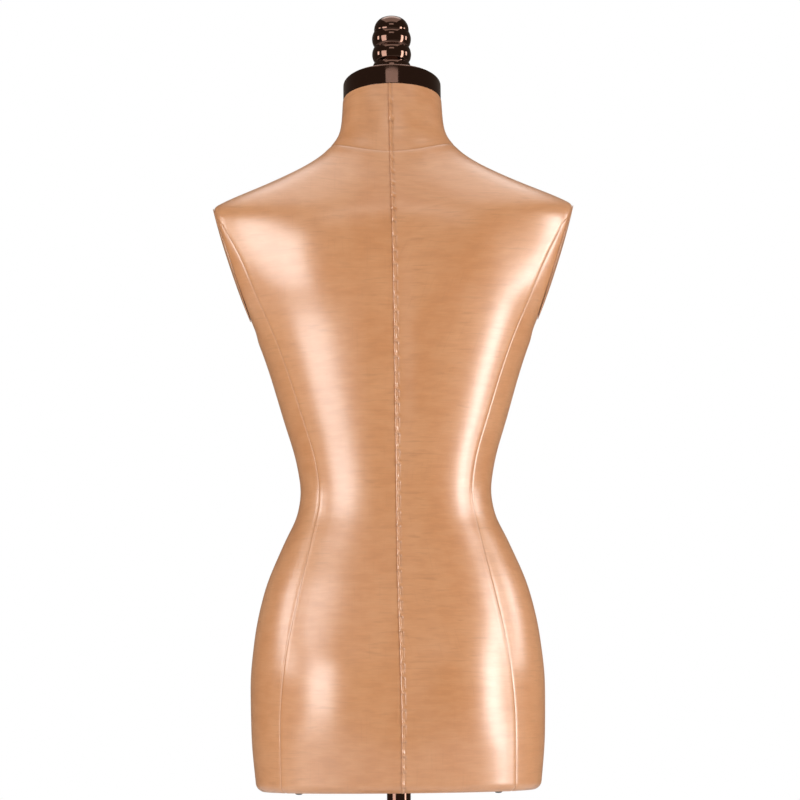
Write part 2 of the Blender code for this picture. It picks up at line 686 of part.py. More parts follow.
def pole_parts():
    axis = axis_empty("pole_axis", (0, 0, HEM_HEIGHT))
    inner = POLE_RADIUS - POLE_WALL
    tube = [(inner, POLE_FOOT), (POLE_RADIUS, POLE_FOOT), (POLE_RADIUS, POLE_TOP), (inner, POLE_TOP)]
    turned("inner_pole", tube, "dark_chrome", axis)
    plug, head = inner - FIT, TUBE_RADIUS - TUBE_WALL - PLAY
    low = -FIT - FOOT_HEAD
    foot = [(0, low), (head - 0.0008, low), (head, low + 0.0008), (head, -FIT), (plug, -FIT)]
    foot += [(plug, FOOT_PLUG), (0, FOOT_PLUG)]
    turned("pole_foot", foot, "nylon", axis, (0, 0, POLE_FOOT), sides=20)
    spigot, flange = PIVOT_DIAMETER / 2, PIVOT_FLANGE
    top = flange + PIVOT_LENGTH
    pivot = [(0, -PIVOT_PLUG), (plug, -PIVOT_PLUG), (plug, FIT), (POLE_RADIUS, FIT), (POLE_RADIUS, flange)]
    pivot += [(spigot, flange), (spigot, top - 0.001), (spigot - 0.001, top), (0, top)]
    turned("pole_pivot", pivot, "steel", axis, (0, 0, POLE_TOP), sides=20)


# Torso: heights are measured from the hem

PIVOT_TOP = POLE_TOP + PIVOT_FLANGE + PIVOT_LENGTH
HUB_FLAT = NECK_TOP - HUB_DROP
TNUT_BARREL_RADIUS = STUD_DIAMETER / 2 + FIT + TNUT_WALL
SHELL_INNER = COVER_THICKNESS + SHELL_GAP + SHELL_WALL
CAP_FRAME = Matrix.Translation((0, 0, NECK_TOP)) @ Matrix.Rotation(CAP_TILT, 4, "X")
CAP_TOP = NECK_TOP + CAP_HEIGHT / math.cos(CAP_TILT)
SEAT_TOP = CAP_TOP + SEAT_RISE
FINIAL_FOOT = SEAT_TOP + 2 * FIT + FINIAL_WASHER_THICKNESS


def tilted(work):
    """Moves a mesh from the cap's own frame into the torso's."""
    bmesh.ops.transform(work, matrix=CAP_FRAME, verts=work.verts)
    return work


def body_shell(axis):
    outer = COVER_THICKNESS + SHELL_GAP
    cells = cells_between(RINGS[0], RINGS[-1], 0, COLUMNS)
    add_object("body_shell", cell_solid(cells, outer, SHELL_INNER), "moulding", axis)


def arm_frame(side):
    """Frame of an armhole plate: Z out of the body, X up along the plane."""
    lean = math.atan(ARM_PLANE_SLOPE * GRADE)
    out = Vector((side * math.cos(lean), 0, -math.sin(lean)))
    up = Vector((side * math.sin(lean), 0, math.cos(lean)))
    across = out.cross(up)
    centre = Vector((side * arm_plane_x(ARM_CENTRE_HEIGHT), GRADE * ARM_CENTRE_Y, ARM_CENTRE_HEIGHT))
    frame = Matrix((up, across, out)).transposed().to_4x4()
    frame.translation = centre
    return frame


def oval_mesh(rings, sides=SIDES):
    """A closed body of oval rings (share of the oval, height), with a point or a flat at each end."""
    work = bmesh.new()
    rows = []
    for share, level in rings:
        turns = [2 * math.pi * i / sides for i in range(sides)] if share > 0 else [0.0]
        rows.append([work.verts.new((share * ARM_HALF_HEIGHT * math.cos(t),
                                     share * ARM_HALF_DEPTH * GRADE * math.sin(t), level)) for t in turns])
    for low, high in zip(rows, rows[1:]):
        for i in range(sides):
            j = (i + 1) % sides
            corners = [low[i % len(low)], low[j % len(low)], high[j % len(high)], high[i % len(high)]]
            work.faces.new(list(dict.fromkeys(corners)))
    bmesh.ops.recalc_face_normals(work, faces=work.faces)
    return work


def armhole_plate(name, side, axis):
    under = FIT - COVER_THICKNESS - SHELL_GAP
    rings = [(0, under), (1, under), (1, ARM_RIM * 0.5), (0.985, ARM_RIM)]
    rings += [(share, ARM_RIM + ARM_DOME * (1 - share**2)) for share in (0.85, 0.65, 0.4, 0)]
    work = oval_mesh(rings)
    bmesh.ops.transform(work, matrix=arm_frame(side), verts=work.verts)
    add_object(name, work, "linen", axis)


def arm_cutter(side, axis):
    grow = 1 + SEAM_GAP / ARM_HALF_DEPTH
    work = oval_mesh([(0, -0.012), (grow, -0.012), (grow, 0.012), (0, 0.012)])
    bmesh.ops.transform(work, matrix=arm_frame(side), verts=work.verts)
    return add_object("armhole_left_cutter" if side > 0 else "armhole_right_cutter", work, None, axis)


def panel_cells():
    """Mesh cells of each cover panel on the +X side, by name."""
    hem, neck = RINGS[0], NECK_RING
    back_seam, side = WIDE_COLUMNS, WIDE_COLUMNS + NARROW_COLUMNS
    front_seam = side + NARROW_COLUMNS
    return {
        "back": cells_between(hem, neck, 0, back_seam) | cells_between(SHOULDER_RING, neck, back_seam, side),
        "side_back": cells_between(hem, SIDE_TOP_RING, back_seam, side),
        "side_front": cells_between(hem, SIDE_TOP_RING, side, front_seam),
        "front": cells_between(hem, neck, front_seam, HALF_COLUMNS)
        | cells_between(SHOULDER_RING, neck, side, front_seam),
    }


def cover(axis):
    for side, word in ((1, "left"), (-1, "right")):
        cutter = arm_cutter(side, axis)
        for part, cells in panel_cells().items():
            if side < 0:
                cells = {(row, COLUMNS - 1 - column) for row, column in cells}
            panel = add_object(f"cover_{part}_{word}", cell_solid(cells, 0.0, COVER_THICKNESS, SEAM_GAP),
                               "linen", axis)
            boolean(panel, cutter)
    neck = cells_between(NECK_RING, RINGS[-1], 0, COLUMNS)
    add_object("neck_cover", cell_solid(neck, 0.0, COVER_THICKNESS, SEAM_GAP), "linen", axis)


def neck_cap(axis):
    radius, top, wall, edge = NECK_RADIUS - CAP_REVEAL, CAP_HEIGHT, CAP_WALL, CAP_EDGE
    profile = [(0, top - wall), (radius - edge, top - wall), (radius - wall, top - edge)]
    profile += [(radius - wall, 2 * FIT), (radius, 2 * FIT)]
    profile += arc((radius - edge, top - edge), edge, 0, 90, 3)
    profile += [(0, top)]
    cap = add_object("neck_cap", tilted(turned_mesh(profile, 28)), "dark_chrome", axis)
    boolean(cap, rod_cutter("cap_hole", STUD_DIAMETER / 2 + 0.001, NECK_TOP, CAP_TOP + 0.02, axis, sides=16))


def neck_block(axis):
    radius = NECK_RADIUS - SHELL_INNER - BLOCK_CLEARANCE
    profile = [(0, -BLOCK_THICKNESS), (radius - 0.002, -BLOCK_THICKNESS), (radius, 0.002 - BLOCK_THICKNESS)]
    profile += [(radius, -FIT), (0, -FIT)]
    block = add_object("neck_block", tilted(turned_mesh(profile, 24)), "timber", axis)
    hub = rod_cutter("block_hub", HUB_DIAMETER / 2, HUB_FLAT, NECK_TOP - BLOCK_THICKNESS, axis)
    boolean(block, hub, "UNION")
    flange, ceiling = TNUT_FLANGE_DIAMETER / 2 + FIT, HUB_FLAT + TNUT_RECESS
    boolean(block, rod_cutter("tnut_recess", flange, HUB_FLAT - 0.002, ceiling, axis, sides=20))
    bore = rod_cutter("tnut_bore", TNUT_BARREL_RADIUS + FIT, HUB_FLAT, NECK_TOP + 0.02, axis, sides=20)
    boolean(block, bore)


def t_nut(axis):
    seat, hole = HUB_FLAT + TNUT_RECESS - FIT, STUD_DIAMETER / 2 + FIT
    low, top = seat - TNUT_FLANGE_THICKNESS, seat + TNUT_BARREL_HEIGHT
    flange, barrel = TNUT_FLANGE_DIAMETER / 2, TNUT_BARREL_RADIUS
    profile = [(hole, low), (flange, low), (flange, seat), (barrel, seat), (barrel, top), (hole, top)]
    turned("t_nut", profile, "steel", axis, sides=20)


def pivot_cup(axis):
    top, socket = HUB_FLAT - FIT, PIVOT_DIAMETER / 2 + PLAY
    low, radius, ceiling = top - CUP_HEIGHT, CUP_DIAMETER / 2, PIVOT_TOP + PLAY
    profile = [(0, ceiling), (socket, ceiling), (socket, low), (radius - 0.001, low), (radius, low + 0.001)]
    profile += [(radius, top), (0, top)]
    turned("pivot_cup", profile, "brass", axis)


def finial_seat(axis):
    """A turned collar cut at the cap's slope, so that the finial stands upright on it."""
    outer, hole = SEAT_DIAMETER / 2, STUD_DIAMETER / 2 + 2 * FIT
    profile = [(hole, NECK_TOP), (outer, NECK_TOP), (outer, SEAT_TOP - 0.0006), (outer - 0.0006, SEAT_TOP)]
    profile += [(hole, SEAT_TOP)]
    seat = turned("finial_seat", profile, "dark_chrome", axis, sides=20)
    reach, top = SEAT_DIAMETER * 1.6, CAP_HEIGHT + FIT
    slope = turned_mesh([(0, -2 * CAP_HEIGHT), (reach, -2 * CAP_HEIGHT), (reach, top), (0, top)], 16)
    boolean(seat, add_object("seat_slope", tilted(slope), None, axis))


def bottom_board(axis):
    low, high = BOARD_RECESS, BOARD_RECESS + BOARD_THICKNESS
    inset = SHELL_INNER + BOARD_CLEARANCE - hem_inset(0.0)
    work = bmesh.new()
    rings = {low: [], high: []}
    for angle in ANGLES[0]:
        edge = surface(0.0, angle)
        around = surface(0.0, angle + 0.5) - surface(0.0, angle - 0.5)
        inward = Vector((around.y, -around.x, 0)).normalized() * inset
        inward *= -1 if inward.dot(edge) > 0 else 1
        for level, ring in rings.items():
            ring.append(work.verts.new((edge.x + inward.x, edge.y + inward.y, level)))
    for i in range(COLUMNS):
        j = (i + 1) % COLUMNS
        work.faces.new((rings[low][i], rings[low][j], rings[high][j], rings[high][i]))
    work.faces.new(rings[low])
    work.faces.new(rings[high])
    bmesh.ops.recalc_face_normals(work, faces=work.faces)
    board = add_object("bottom_board", work, "timber", axis)
    hole = POLE_RADIUS + PLAY + BOARD_BUSH_WALL + FIT
    boolean(board, rod_cutter("board_hole", hole, low - 0.01, high + 0.01, axis))


def board_bush(axis):
    bore, seat = POLE_RADIUS + PLAY, BOARD_RECESS - FIT
    sleeve, flange = bore + BOARD_BUSH_WALL, BOARD_BUSH_FLANGE / 2
    low, top = seat - BOARD_BUSH_FLANGE_THICKNESS, BOARD_RECESS + BOARD_THICKNESS + 0.002
    profile = [(bore, low), (flange - 0.0008, low), (flange, low + 0.0008), (flange, seat), (sleeve, seat)]
    profile += [(sleeve, top), (bore, top)]
    turned("board_bush", profile, "nylon", axis)


def glides(axis):
    radius, top = GLIDE_DIAMETER / 2, BOARD_RECESS - FIT
    profile = [(0, -GLIDE_DROP), (radius * 0.55, 0.0004 - GLIDE_DROP), (radius * 0.88, 0.0013 - GLIDE_DROP)]
    profile += [(radius, 0.0028 - GLIDE_DROP), (radius, 0), (0, 0)]
    for index, (side, depth) in enumerate(((1, -1), (-1, -1), (-1, 1), (1, 1))):
        place = (side * GLIDE_X * GRADE, depth * GLIDE_Y * GRADE, top)
        turned(f"glide_{index + 1}", profile, "black_plastic", axis, place, sides=16)


def torso_parts():
    axis = axis_empty("torso_axis", (0, 0, HEM_HEIGHT))
    body_shell(axis)
    cover(axis)
    armhole_plate("armhole_plate_left", 1, axis)
    armhole_plate("armhole_plate_right", -1, axis)
    neck_block(axis)
    t_nut(axis)
    pivot_cup(axis)
    neck_cap(axis)
    finial_seat(axis)
    bottom_board(axis)
    board_bush(axis)
    glides(axis)


# Finial


def finial_profile():
    """From the axis at the foot round to the axis at the top: three beads under a dome."""
    top = FINIAL_HEIGHT
    first_bead = top - FINIAL_FIRST_BEAD
    beads = []
    for step in range(FINIAL_STEPS):
        height = first_bead + 0.0055 - FINIAL_BEAD_PITCH * 2.3 * step / (FINIAL_STEPS - 1)
        swing = math.cos(2 * math.pi * (height - first_bead) / FINIAL_BEAD_PITCH)
        beads.append((FINIAL_BEAD_RADIUS + FINIAL_BEAD_SWELL * swing, height))
    dome_low = top - FINIAL_DOME_HEIGHT
    dome = [(FINIAL_DOME_RADIUS * math.cos(math.radians(a)),
             dome_low + FINIAL_DOME_HEIGHT * math.sin(math.radians(a))) for a in (8, 26, 44, 60, 75)]
    foot = FINIAL_DOME_RADIUS
    bore, depth = STUD_DIAMETER / 2 + FIT, FINIAL_STUD_DEPTH + FIT
    profile = [(0, depth), (bore, depth), (bore, 0), (foot - 0.0006, 0), (foot, 0.0006)]
    profile += list(reversed(beads)) + [(0.0176, dome_low - 0.0018), (0.0182, dome_low - 0.0004)] + dome
    return profile + [(0, top)]


def finial_parts():
    axis = axis_empty("finial_axis", (0, 0, HEM_HEIGHT + FINIAL_FOOT))
    hole, outer, low = STUD_DIAMETER / 2 + FIT, FINIAL_WASHER_DIAMETER / 2, -FIT - FINIAL_WASHER_THICKNESS
    turned("finial_washer", [(hole, low), (outer, low), (outer, -FIT), (hole, -FIT)], "nylon", axis, sides=20)
    turned("finial", finial_profile(), "dark_chrome", axis)
    radius, top = STUD_DIAMETER / 2, FINIAL_STUD_DEPTH
    low = HUB_FLAT + FINIAL_STUD_REST - FINIAL_FOOT
    stud = [(0, low), (radius - 0.0008, low), (radius, low + 0.0008), (radius, top), (0, top)]
    turned("finial_stud", stud, "steel", axis, sides=16)


def main():
    clear_scene()
    base_plate()
    base_pads()
    base_flange()
    tube_plug()
    base_fastener()
    outer_tube()
    guide_bush()
    clamp_collar()
    clamp_parts()
    pole_parts()
    torso_parts()
    finial_parts()


main()
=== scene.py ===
"""Dress form mannequin: fine covers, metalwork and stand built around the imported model.

Metres, +Z up. The torso's front faces -Y, the pole is the Z axis and the floor is z = 0. Heights on the
torso are measured from its hem, and angles round it run from the middle of the back over +X.
"""

import logging
import math
from collections.abc import Sequence
from dataclasses import dataclass, field
from enum import Enum

import bpy
import numpy as np
from mathutils import Matrix, Vector


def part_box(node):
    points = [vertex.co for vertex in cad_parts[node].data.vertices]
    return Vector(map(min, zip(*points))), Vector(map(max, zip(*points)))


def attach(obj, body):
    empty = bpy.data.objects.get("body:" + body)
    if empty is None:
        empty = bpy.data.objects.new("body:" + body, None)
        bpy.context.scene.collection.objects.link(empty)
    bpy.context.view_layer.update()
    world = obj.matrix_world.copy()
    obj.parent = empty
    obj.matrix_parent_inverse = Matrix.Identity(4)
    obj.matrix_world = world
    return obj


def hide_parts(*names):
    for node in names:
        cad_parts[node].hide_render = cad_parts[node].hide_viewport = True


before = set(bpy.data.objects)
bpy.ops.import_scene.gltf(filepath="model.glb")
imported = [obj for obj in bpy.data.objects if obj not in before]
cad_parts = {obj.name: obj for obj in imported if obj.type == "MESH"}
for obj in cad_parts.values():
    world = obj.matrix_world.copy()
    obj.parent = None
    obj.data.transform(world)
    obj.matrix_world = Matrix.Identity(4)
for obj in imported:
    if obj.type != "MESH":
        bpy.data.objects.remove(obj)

logging.basicConfig(level=logging.INFO, format="%(message)s")
LOG = logging.getLogger("dress_form")

MM = 0.001
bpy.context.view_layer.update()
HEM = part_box("cover_back_left")[0].z
TUBE_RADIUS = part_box("outer_tube")[1].x
POLE_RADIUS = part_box("inner_pole")[1].x

Points = np.ndarray
Outline = list[tuple[float, float]]
Triple = tuple[float, float, float]
Colour = tuple[float, float, float]


class Body(str, Enum):
    """The moving bodies that new pieces ride on."""

    STAND = "stand"
    CLAMP_KNOB = "clamp_knob"
    POLE = "pole"
    TORSO = "torso"
    FINIAL_WASHER = "finial_washer"
    FINIAL = "finial"


class Slot(str, Enum):
    """The record's material slots."""

    LINEN = "linen"
    SHELL = "shell"
    TIMBER = "timber"
    DARK_CHROME = "dark_chrome"
    STEEL = "steel"
    BRASS = "brass"
    NYLON = "nylon"
    BLACK_PLASTIC = "black_plastic"
    BLACK_PAINT = "black_paint"
    RUBBER = "rubber"


# Finishes


class Graph:
    """One material's node tree, with a short method for each kind of node."""

    def __init__(self, name: str) -> None:
        """Starts a material that holds a Principled shader.

        Args:
            name: The material's name.
        """
        self.material = bpy.data.materials.new(name)
        self.material.use_nodes = True
        self.tree = self.material.node_tree
        self.shader = self.tree.nodes["Principled BSDF"]

    def node(self, kind: str, **settings: object) -> bpy.types.Node:
        """Adds a node.

        Args:
            kind: The node's type, without the ShaderNode prefix.
            settings: Properties to set on it.

        Returns:
            The node.
        """
        made = self.tree.nodes.new("ShaderNode" + kind)
        for key, value in settings.items():
            setattr(made, key, value)
        return made

    def feed(self, target: bpy.types.NodeSocket, source: object) -> None:
        """Links a socket to an input, or sets a plain value on it.

        Args:
            target: The input.
            source: A socket, or a value.
        """
        if isinstance(source, bpy.types.NodeSocket):
            self.tree.links.new(source, target)
        else:
            target.default_value = source

    def set(self, **values: object) -> None:
        """Feeds the shader's inputs.

        Args:
            values: A socket or a value by input, with underscores for spaces.
        """
        for key, value in values.items():
            self.feed(self.shader.inputs[key.replace("_", " ")], value)

    def coords(self, scale: Triple = (1, 1, 1), cloth: bool = False) -> bpy.types.NodeSocket:
        """Coordinates in metres, scaled for a pattern.

        Args:
            scale: Factors along the three axes.
            cloth: Whether they follow the cloth instead of space.

        Returns:
            The vector.
        """
        source = self.node("UVMap", uv_map=Cloth.UV) if cloth else self.node("TexCoord")
        mapping = self.node("Mapping")
        self.feed(mapping.inputs["Vector"], source.outputs["UV" if cloth else "Object"])
        self.feed(mapping.inputs["Scale"], tuple(scale))
        return mapping.outputs["Vector"]

    def noise(self, vector: bpy.types.NodeSocket, scale: float = 1.0, detail: float = 3.0,
              rough: float = 0.5, distortion: float = 0.0) -> bpy.types.NodeSocket:
        """A noise from 0 to 1 over a vector.

        Args:
            vector: The coordinates.
            scale: Its frequency over them.
            detail: Its octaves.
            rough: How strong the finer octaves are.
            distortion: How far it is warped.

        Returns:
            The noise.
        """
        made = self.node("TexNoise")
        self.feed(made.inputs["Vector"], vector)
        for key, value in (("Scale", scale), ("Detail", detail), ("Roughness", rough), ("Distortion", distortion)):
            self.feed(made.inputs[key], value)
        return made.outputs["Fac"]

    def span(self, value: object, low: float, high: float, start: float = 0.0,
             end: float = 1.0) -> bpy.types.NodeSocket:
        """Maps low..high of a value smoothly to start..end, and holds it there outside.

        Args:
            value: The value.
            low: Where the slope begins.
            high: Where the slope ends.
            start: The result up to low.
            end: The result from high on.

        Returns:
            The mapped value.
        """
        made = self.node("MapRange", interpolation_type="SMOOTHSTEP")
        for key, number in (("Value", value), ("From Min", low), ("From Max", high), ("To Min", start),
                            ("To Max", end)):
            self.feed(made.inputs[key], number)
        return made.outputs["Result"]

    def math(self, operation: str, first: object, second: object = 0.0) -> bpy.types.NodeSocket:
        """One arithmetic step.

        Args:
            operation: The step's name, such as MULTIPLY.
            first: Its first operand.
            second: Its second operand.

        Returns:
            The result.
        """
        made = self.node("Math", operation=operation)
        self.feed(made.inputs[0], first)
        self.feed(made.inputs[1], second)
        return made.outputs["Value"]

    def blend(self, factor: object, first: object, second: object) -> bpy.types.NodeSocket:
        """A colour between two.

        Args:
            factor: The share of the second colour.
            first: A colour, or a socket.
            second: Another one.

        Returns:
            The colour.
        """
        made = self.node("Mix", data_type="RGBA")
        self.feed(made.inputs["Factor"], factor)
        for key, colour in (("A", first), ("B", second)):
            socket = next(s for s in made.inputs if s.name == key and s.type == "RGBA")
            self.feed(socket, colour if isinstance(colour, bpy.types.NodeSocket) else (*colour, 1.0))
        return next(s for s in made.outputs if s.type == "RGBA")

    def bump(self, height: bpy.types.NodeSocket, depth: float,
             under: bpy.types.NodeSocket | None = None) -> bpy.types.NodeSocket:
        """A normal for a relief, over another one.

        Args:
            height: The relief, from 0 to 1.
            depth: Its depth, in metres.
            under: The normal under it.

        Returns:
            The normal.
        """
        made = self.node("Bump")
        self.feed(made.inputs["Height"], height)
        self.feed(made.inputs["Distance"], depth)
        if under:
            self.feed(made.inputs["Normal"], under)
        return made.outputs["Normal"]


@dataclass(frozen=True)
class Finish:
    """A finish, and the record's slot that it stands for."""

    slot: Slot
    colour: Colour
    roughness: float

    def build(self, graph: Graph) -> None:
        """Fills the material's tree."""
        raise NotImplementedError

    def material(self) -> bpy.types.Material:
        """The finish's material, made once.

        Returns:
            The material.
        """
        name = type(self).__name__ + "_" + self.slot.value
        found = bpy.data.materials.get(name)
        if found:
            return found
        graph = Graph(name)
        self.build(graph)
        return graph.material

    def dress(self, *objects: bpy.types.Object) -> None:
        """Gives objects this finish.

        Args:
            objects: New pieces, or nodes that stay.
        """
        for obj in objects:
            if not obj.material_slots:
                obj.data.materials.append(None)
            for material_slot in obj.material_slots:
                material_slot.material = self.material()


@dataclass(frozen=True)
class GlazedLinen(Finish):
    """Amber linen under a clear glaze, with slubs along the weft."""

    slot: Slot = Slot.LINEN
    colour: Colour = (0.620, 0.265, 0.100)
    roughness: float = 0.42
    slub_colour: Colour = (0.400, 0.160, 0.055)
    pale_colour: Colour = (0.720, 0.365, 0.175)
    # Colour of the painted shadow in the seams' gaps
    seam_shadow_colour: Colour = (0.200, 0.075, 0.025)
    slub_depth: float = 0.00006
    thread_depth: float = 0.00003
    glaze_roughness: float = 0.30
    glaze_index: float = 1.85
    # Marks per metre, round the form and up it
    patch_scale: Triple = (14, 9, 1)
    cloud_scale: Triple = (38, 110, 1)
    weft_scale: Triple = (60, 560, 1)
    slub_scale: Triple = (34, 300, 1)
    warp_scale: Triple = (420, 22, 1)
    # How far each mark changes the colour
    patch_share: float = 0.5
    pale_cloud: float = 0.26
    dark_cloud: float = 0.12
    thread_share: float = 0.12
    slub_share: float = 0.30

    def build(self, graph: Graph) -> None:
        """Threads and slubs follow the cloth, and painted shadow darkens the seams.

        Args:
            graph: The material's tree.
        """
        patch = graph.noise(graph.coords(self.patch_scale, cloth=True), detail=3.0)
        cloud = graph.noise(graph.coords(self.cloud_scale, cloth=True), detail=3.0, rough=0.55)
        weft = graph.noise(graph.coords(self.weft_scale, cloth=True), detail=3.0, rough=0.6)
        slub = graph.noise(graph.coords(self.slub_scale, cloth=True), detail=2.0, distortion=0.3)
        warp = graph.noise(graph.coords(self.warp_scale, cloth=True), detail=2.0)
        slubs = graph.math("MULTIPLY", graph.span(slub, 0.54, 0.72), graph.span(patch, 0.36, 0.60))
        threads = graph.math("MULTIPLY", graph.span(weft, 0.30, 0.75), graph.span(warp, 0.2, 0.8, 0.7, 1.0))
        colour = graph.blend(graph.span(patch, 0.32, 0.68, 0.0, self.patch_share), self.colour, self.pale_colour)
        for share, shade in ((graph.span(cloud, 0.44, 0.62, 0.0, self.pale_cloud), self.pale_colour),
                             (graph.span(cloud, 0.34, 0.48, self.dark_cloud, 0.0), self.slub_colour),
                             (graph.span(threads, 0.15, 0.85, self.thread_share, 0.0), self.slub_colour),
                             (graph.span(warp, 0.56, 0.74, 0.0, self.thread_share), self.slub_colour),
                             (graph.math("MULTIPLY", slubs, self.slub_share), self.slub_colour)):
            colour = graph.blend(share, colour, shade)
        # Painted shadow along the seams, read from the cloth's attribute
        seam = graph.node("Attribute", attribute_name=Cloth.SEAM).outputs["Fac"]
        colour = graph.blend(seam, colour, self.seam_shadow_colour)
        relief = graph.bump(threads, self.thread_depth)
        relief = graph.bump(slub, self.slub_depth, relief)
        rough = graph.span(threads, 0.1, 0.9, self.roughness + 0.05, self.roughness - 0.04)
        graph.set(Base_Color=colour, Roughness=rough, Normal=relief, Metallic=0.05, Coat_Weight=1.0,
                  Coat_Roughness=self.glaze_roughness, Coat_IOR=self.glaze_index, Specular_IOR_Level=0.5)


@dataclass(frozen=True)
class PolishedMetal(Finish):
    """Plated metal with faint polishing marks."""

    polish_scale: float = 240.0
    polish_depth: float = 0.0000015
    wear: float = 0.05

    def build(self, graph: Graph) -> None:
        """Smears of polish in the gloss, and hairline marks round the piece.

        Args:
            graph: The material's tree.
        """
        smear = graph.noise(graph.coords(), scale=26.0, detail=4.0)
        hair = graph.noise(graph.coords((1, 1, 14)), scale=self.polish_scale, detail=2.0)
        rough = graph.span(smear, 0.3, 0.8, self.roughness, self.roughness + self.wear)
        tint = tuple(0.8 * value for value in self.colour)
        graph.set(Base_Color=graph.blend(graph.span(hair, 0.35, 0.7), self.colour, tint), Metallic=1.0,
                  Roughness=rough, Normal=graph.bump(hair, self.polish_depth))


@dataclass(frozen=True)
class PowderCoat(Finish):
    """Baked powder paint with its fine orange peel and a few rubbed spots."""

    peel_scale: float = 620.0
    peel_depth: float = 0.00007
    rub_scale: float = 9.0

    def build(self, graph: Graph) -> None:
        """Orange peel in the relief, rubbed patches in the gloss.

        Args:
            graph: The material's tree.
        """
        peel = graph.noise(graph.coords(), scale=self.peel_scale, detail=2.0)
        rub = graph.noise(graph.coords(), scale=self.rub_scale, detail=5.0)
        grey = tuple(min(1.0, 2.1 * value + 0.008) for value in self.colour)
        graph.set(Base_Color=graph.blend(graph.span(rub, 0.5, 0.8, 0.0, 0.5), self.colour, grey), Metallic=0.1,
                  Roughness=graph.span(rub, 0.3, 0.8, self.roughness, self.roughness + 0.14),
                  Normal=graph.bump(peel, self.peel_depth))


@dataclass(frozen=True)
class Moulding(Finish):
    """A moulded material with a fine grain and soft mottling."""

    grain: float = 900.0
    depth: float = 0.00003
    mottle: float = 0.82

    def build(self, graph: Graph) -> None:
        """Grain in the relief, mottling in colour and gloss.

        Args:
            graph: The material's tree.
        """
        grain = graph.noise(graph.coords(), scale=self.grain, detail=2.0)
        cloud = graph.noise(graph.coords(), scale=34.0, detail=4.0)
        dark = tuple(self.mottle * value for value in self.colour)
        graph.set(Base_Color=graph.blend(graph.span(cloud, 0.3, 0.7), self.colour, dark),
                  Roughness=graph.span(cloud, 0.2, 0.8, self.roughness - 0.06, self.roughness + 0.06),
                  Normal=graph.bump(grain, self.depth))


@dataclass(frozen=True)
class Plywood(Finish):
    """Birch plywood: long grain on its faces and plies on its edge."""

    ply: float = 0.0015
    grain_depth: float = 0.00008
    dark: Colour = (0.26, 0.15, 0.07)

    def build(self, graph: Graph) -> None:
        """Grain along X, rings of growth, and plies by height.

        Args:
            graph: The material's tree.
        """
        grain = graph.noise(graph.coords((6, 160, 160)), detail=5.0, rough=0.65, distortion=0.5)
        ring = graph.noise(graph.coords((1.2, 14, 14)), detail=2.0, distortion=1.2)
        layers = graph.node("TexWave", wave_type="BANDS", bands_direction="Z", wave_profile="SIN")
        graph.feed(layers.inputs["Vector"], graph.coords())
        graph.feed(layers.inputs["Scale"], math.pi / (10 * self.ply))
        graph.feed(layers.inputs["Distortion"], 0.4)
        facing = graph.node("NewGeometry").outputs["Normal"]
        split = graph.node("SeparateXYZ")
        graph.feed(split.inputs[0], facing)
        edge = graph.span(graph.math("ABSOLUTE", split.outputs["Z"]), 0.3, 0.8, 1.0, 0.0)
        shade = graph.blend(graph.span(grain, 0.35, 0.7, 0.0, 0.6), self.colour, self.dark)
        shade = graph.blend(graph.span(ring, 0.45, 0.6, 0.0, 0.35), shade, self.dark)
        plies = graph.math("MULTIPLY", graph.math("MULTIPLY", layers.outputs["Fac"], edge), 0.6)
        graph.set(Base_Color=graph.blend(plies, shade, self.dark), Roughness=self.roughness,
                  Normal=graph.bump(grain, self.grain_depth))


LINEN = GlazedLinen()
SHELL = Moulding(Slot.SHELL, (0.30, 0.24, 0.16), 0.7, grain=260.0, depth=0.0002, mottle=0.6)
TIMBER = Plywood(Slot.TIMBER, (0.50, 0.33, 0.17), 0.6)
DARK_CHROME = PolishedMetal(Slot.DARK_CHROME, (0.140, 0.078, 0.058), 0.06)
STEEL = PolishedMetal(Slot.STEEL, (0.56, 0.56, 0.57), 0.28, wear=0.12)
BRASS = PolishedMetal(Slot.BRASS, (0.72, 0.49, 0.20), 0.24, wear=0.12)
NYLON = Moulding(Slot.NYLON, (0.74, 0.71, 0.63), 0.48, grain=700.0, mottle=0.93)
BLACK_PLASTIC = Moulding(Slot.BLACK_PLASTIC, (0.022, 0.022, 0.023), 0.38, grain=1100.0, depth=0.00004)
BLACK_PAINT = PowderCoat(Slot.BLACK_PAINT, (0.020, 0.018, 0.017), 0.36)
RUBBER = Moulding(Slot.RUBBER, (0.028, 0.028, 0.028), 0.8, grain=420.0, depth=0.00008)


# Modelling


def place_piece(obj: bpy.types.Object, body: Body, finish: Finish, *nodes: str) -> bpy.types.Object:
    """Finishes a piece: its finish, its body and the nodes that it stands for.

    Args:
        obj: The piece, in place.
        body: The body that it moves with.
        finish: Its finish.
        nodes: The CAD nodes that it replaces.

    Returns:
        The piece.
    """
    finish.dress(obj)
    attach(obj, body.value)
    if nodes:
        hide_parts(*nodes)
        obj.name = obj.data.name = nodes[0] + "_fine"
    LOG.info("%s: %d faces on %s", obj.name, len(obj.data.polygons), body.value)
    return obj


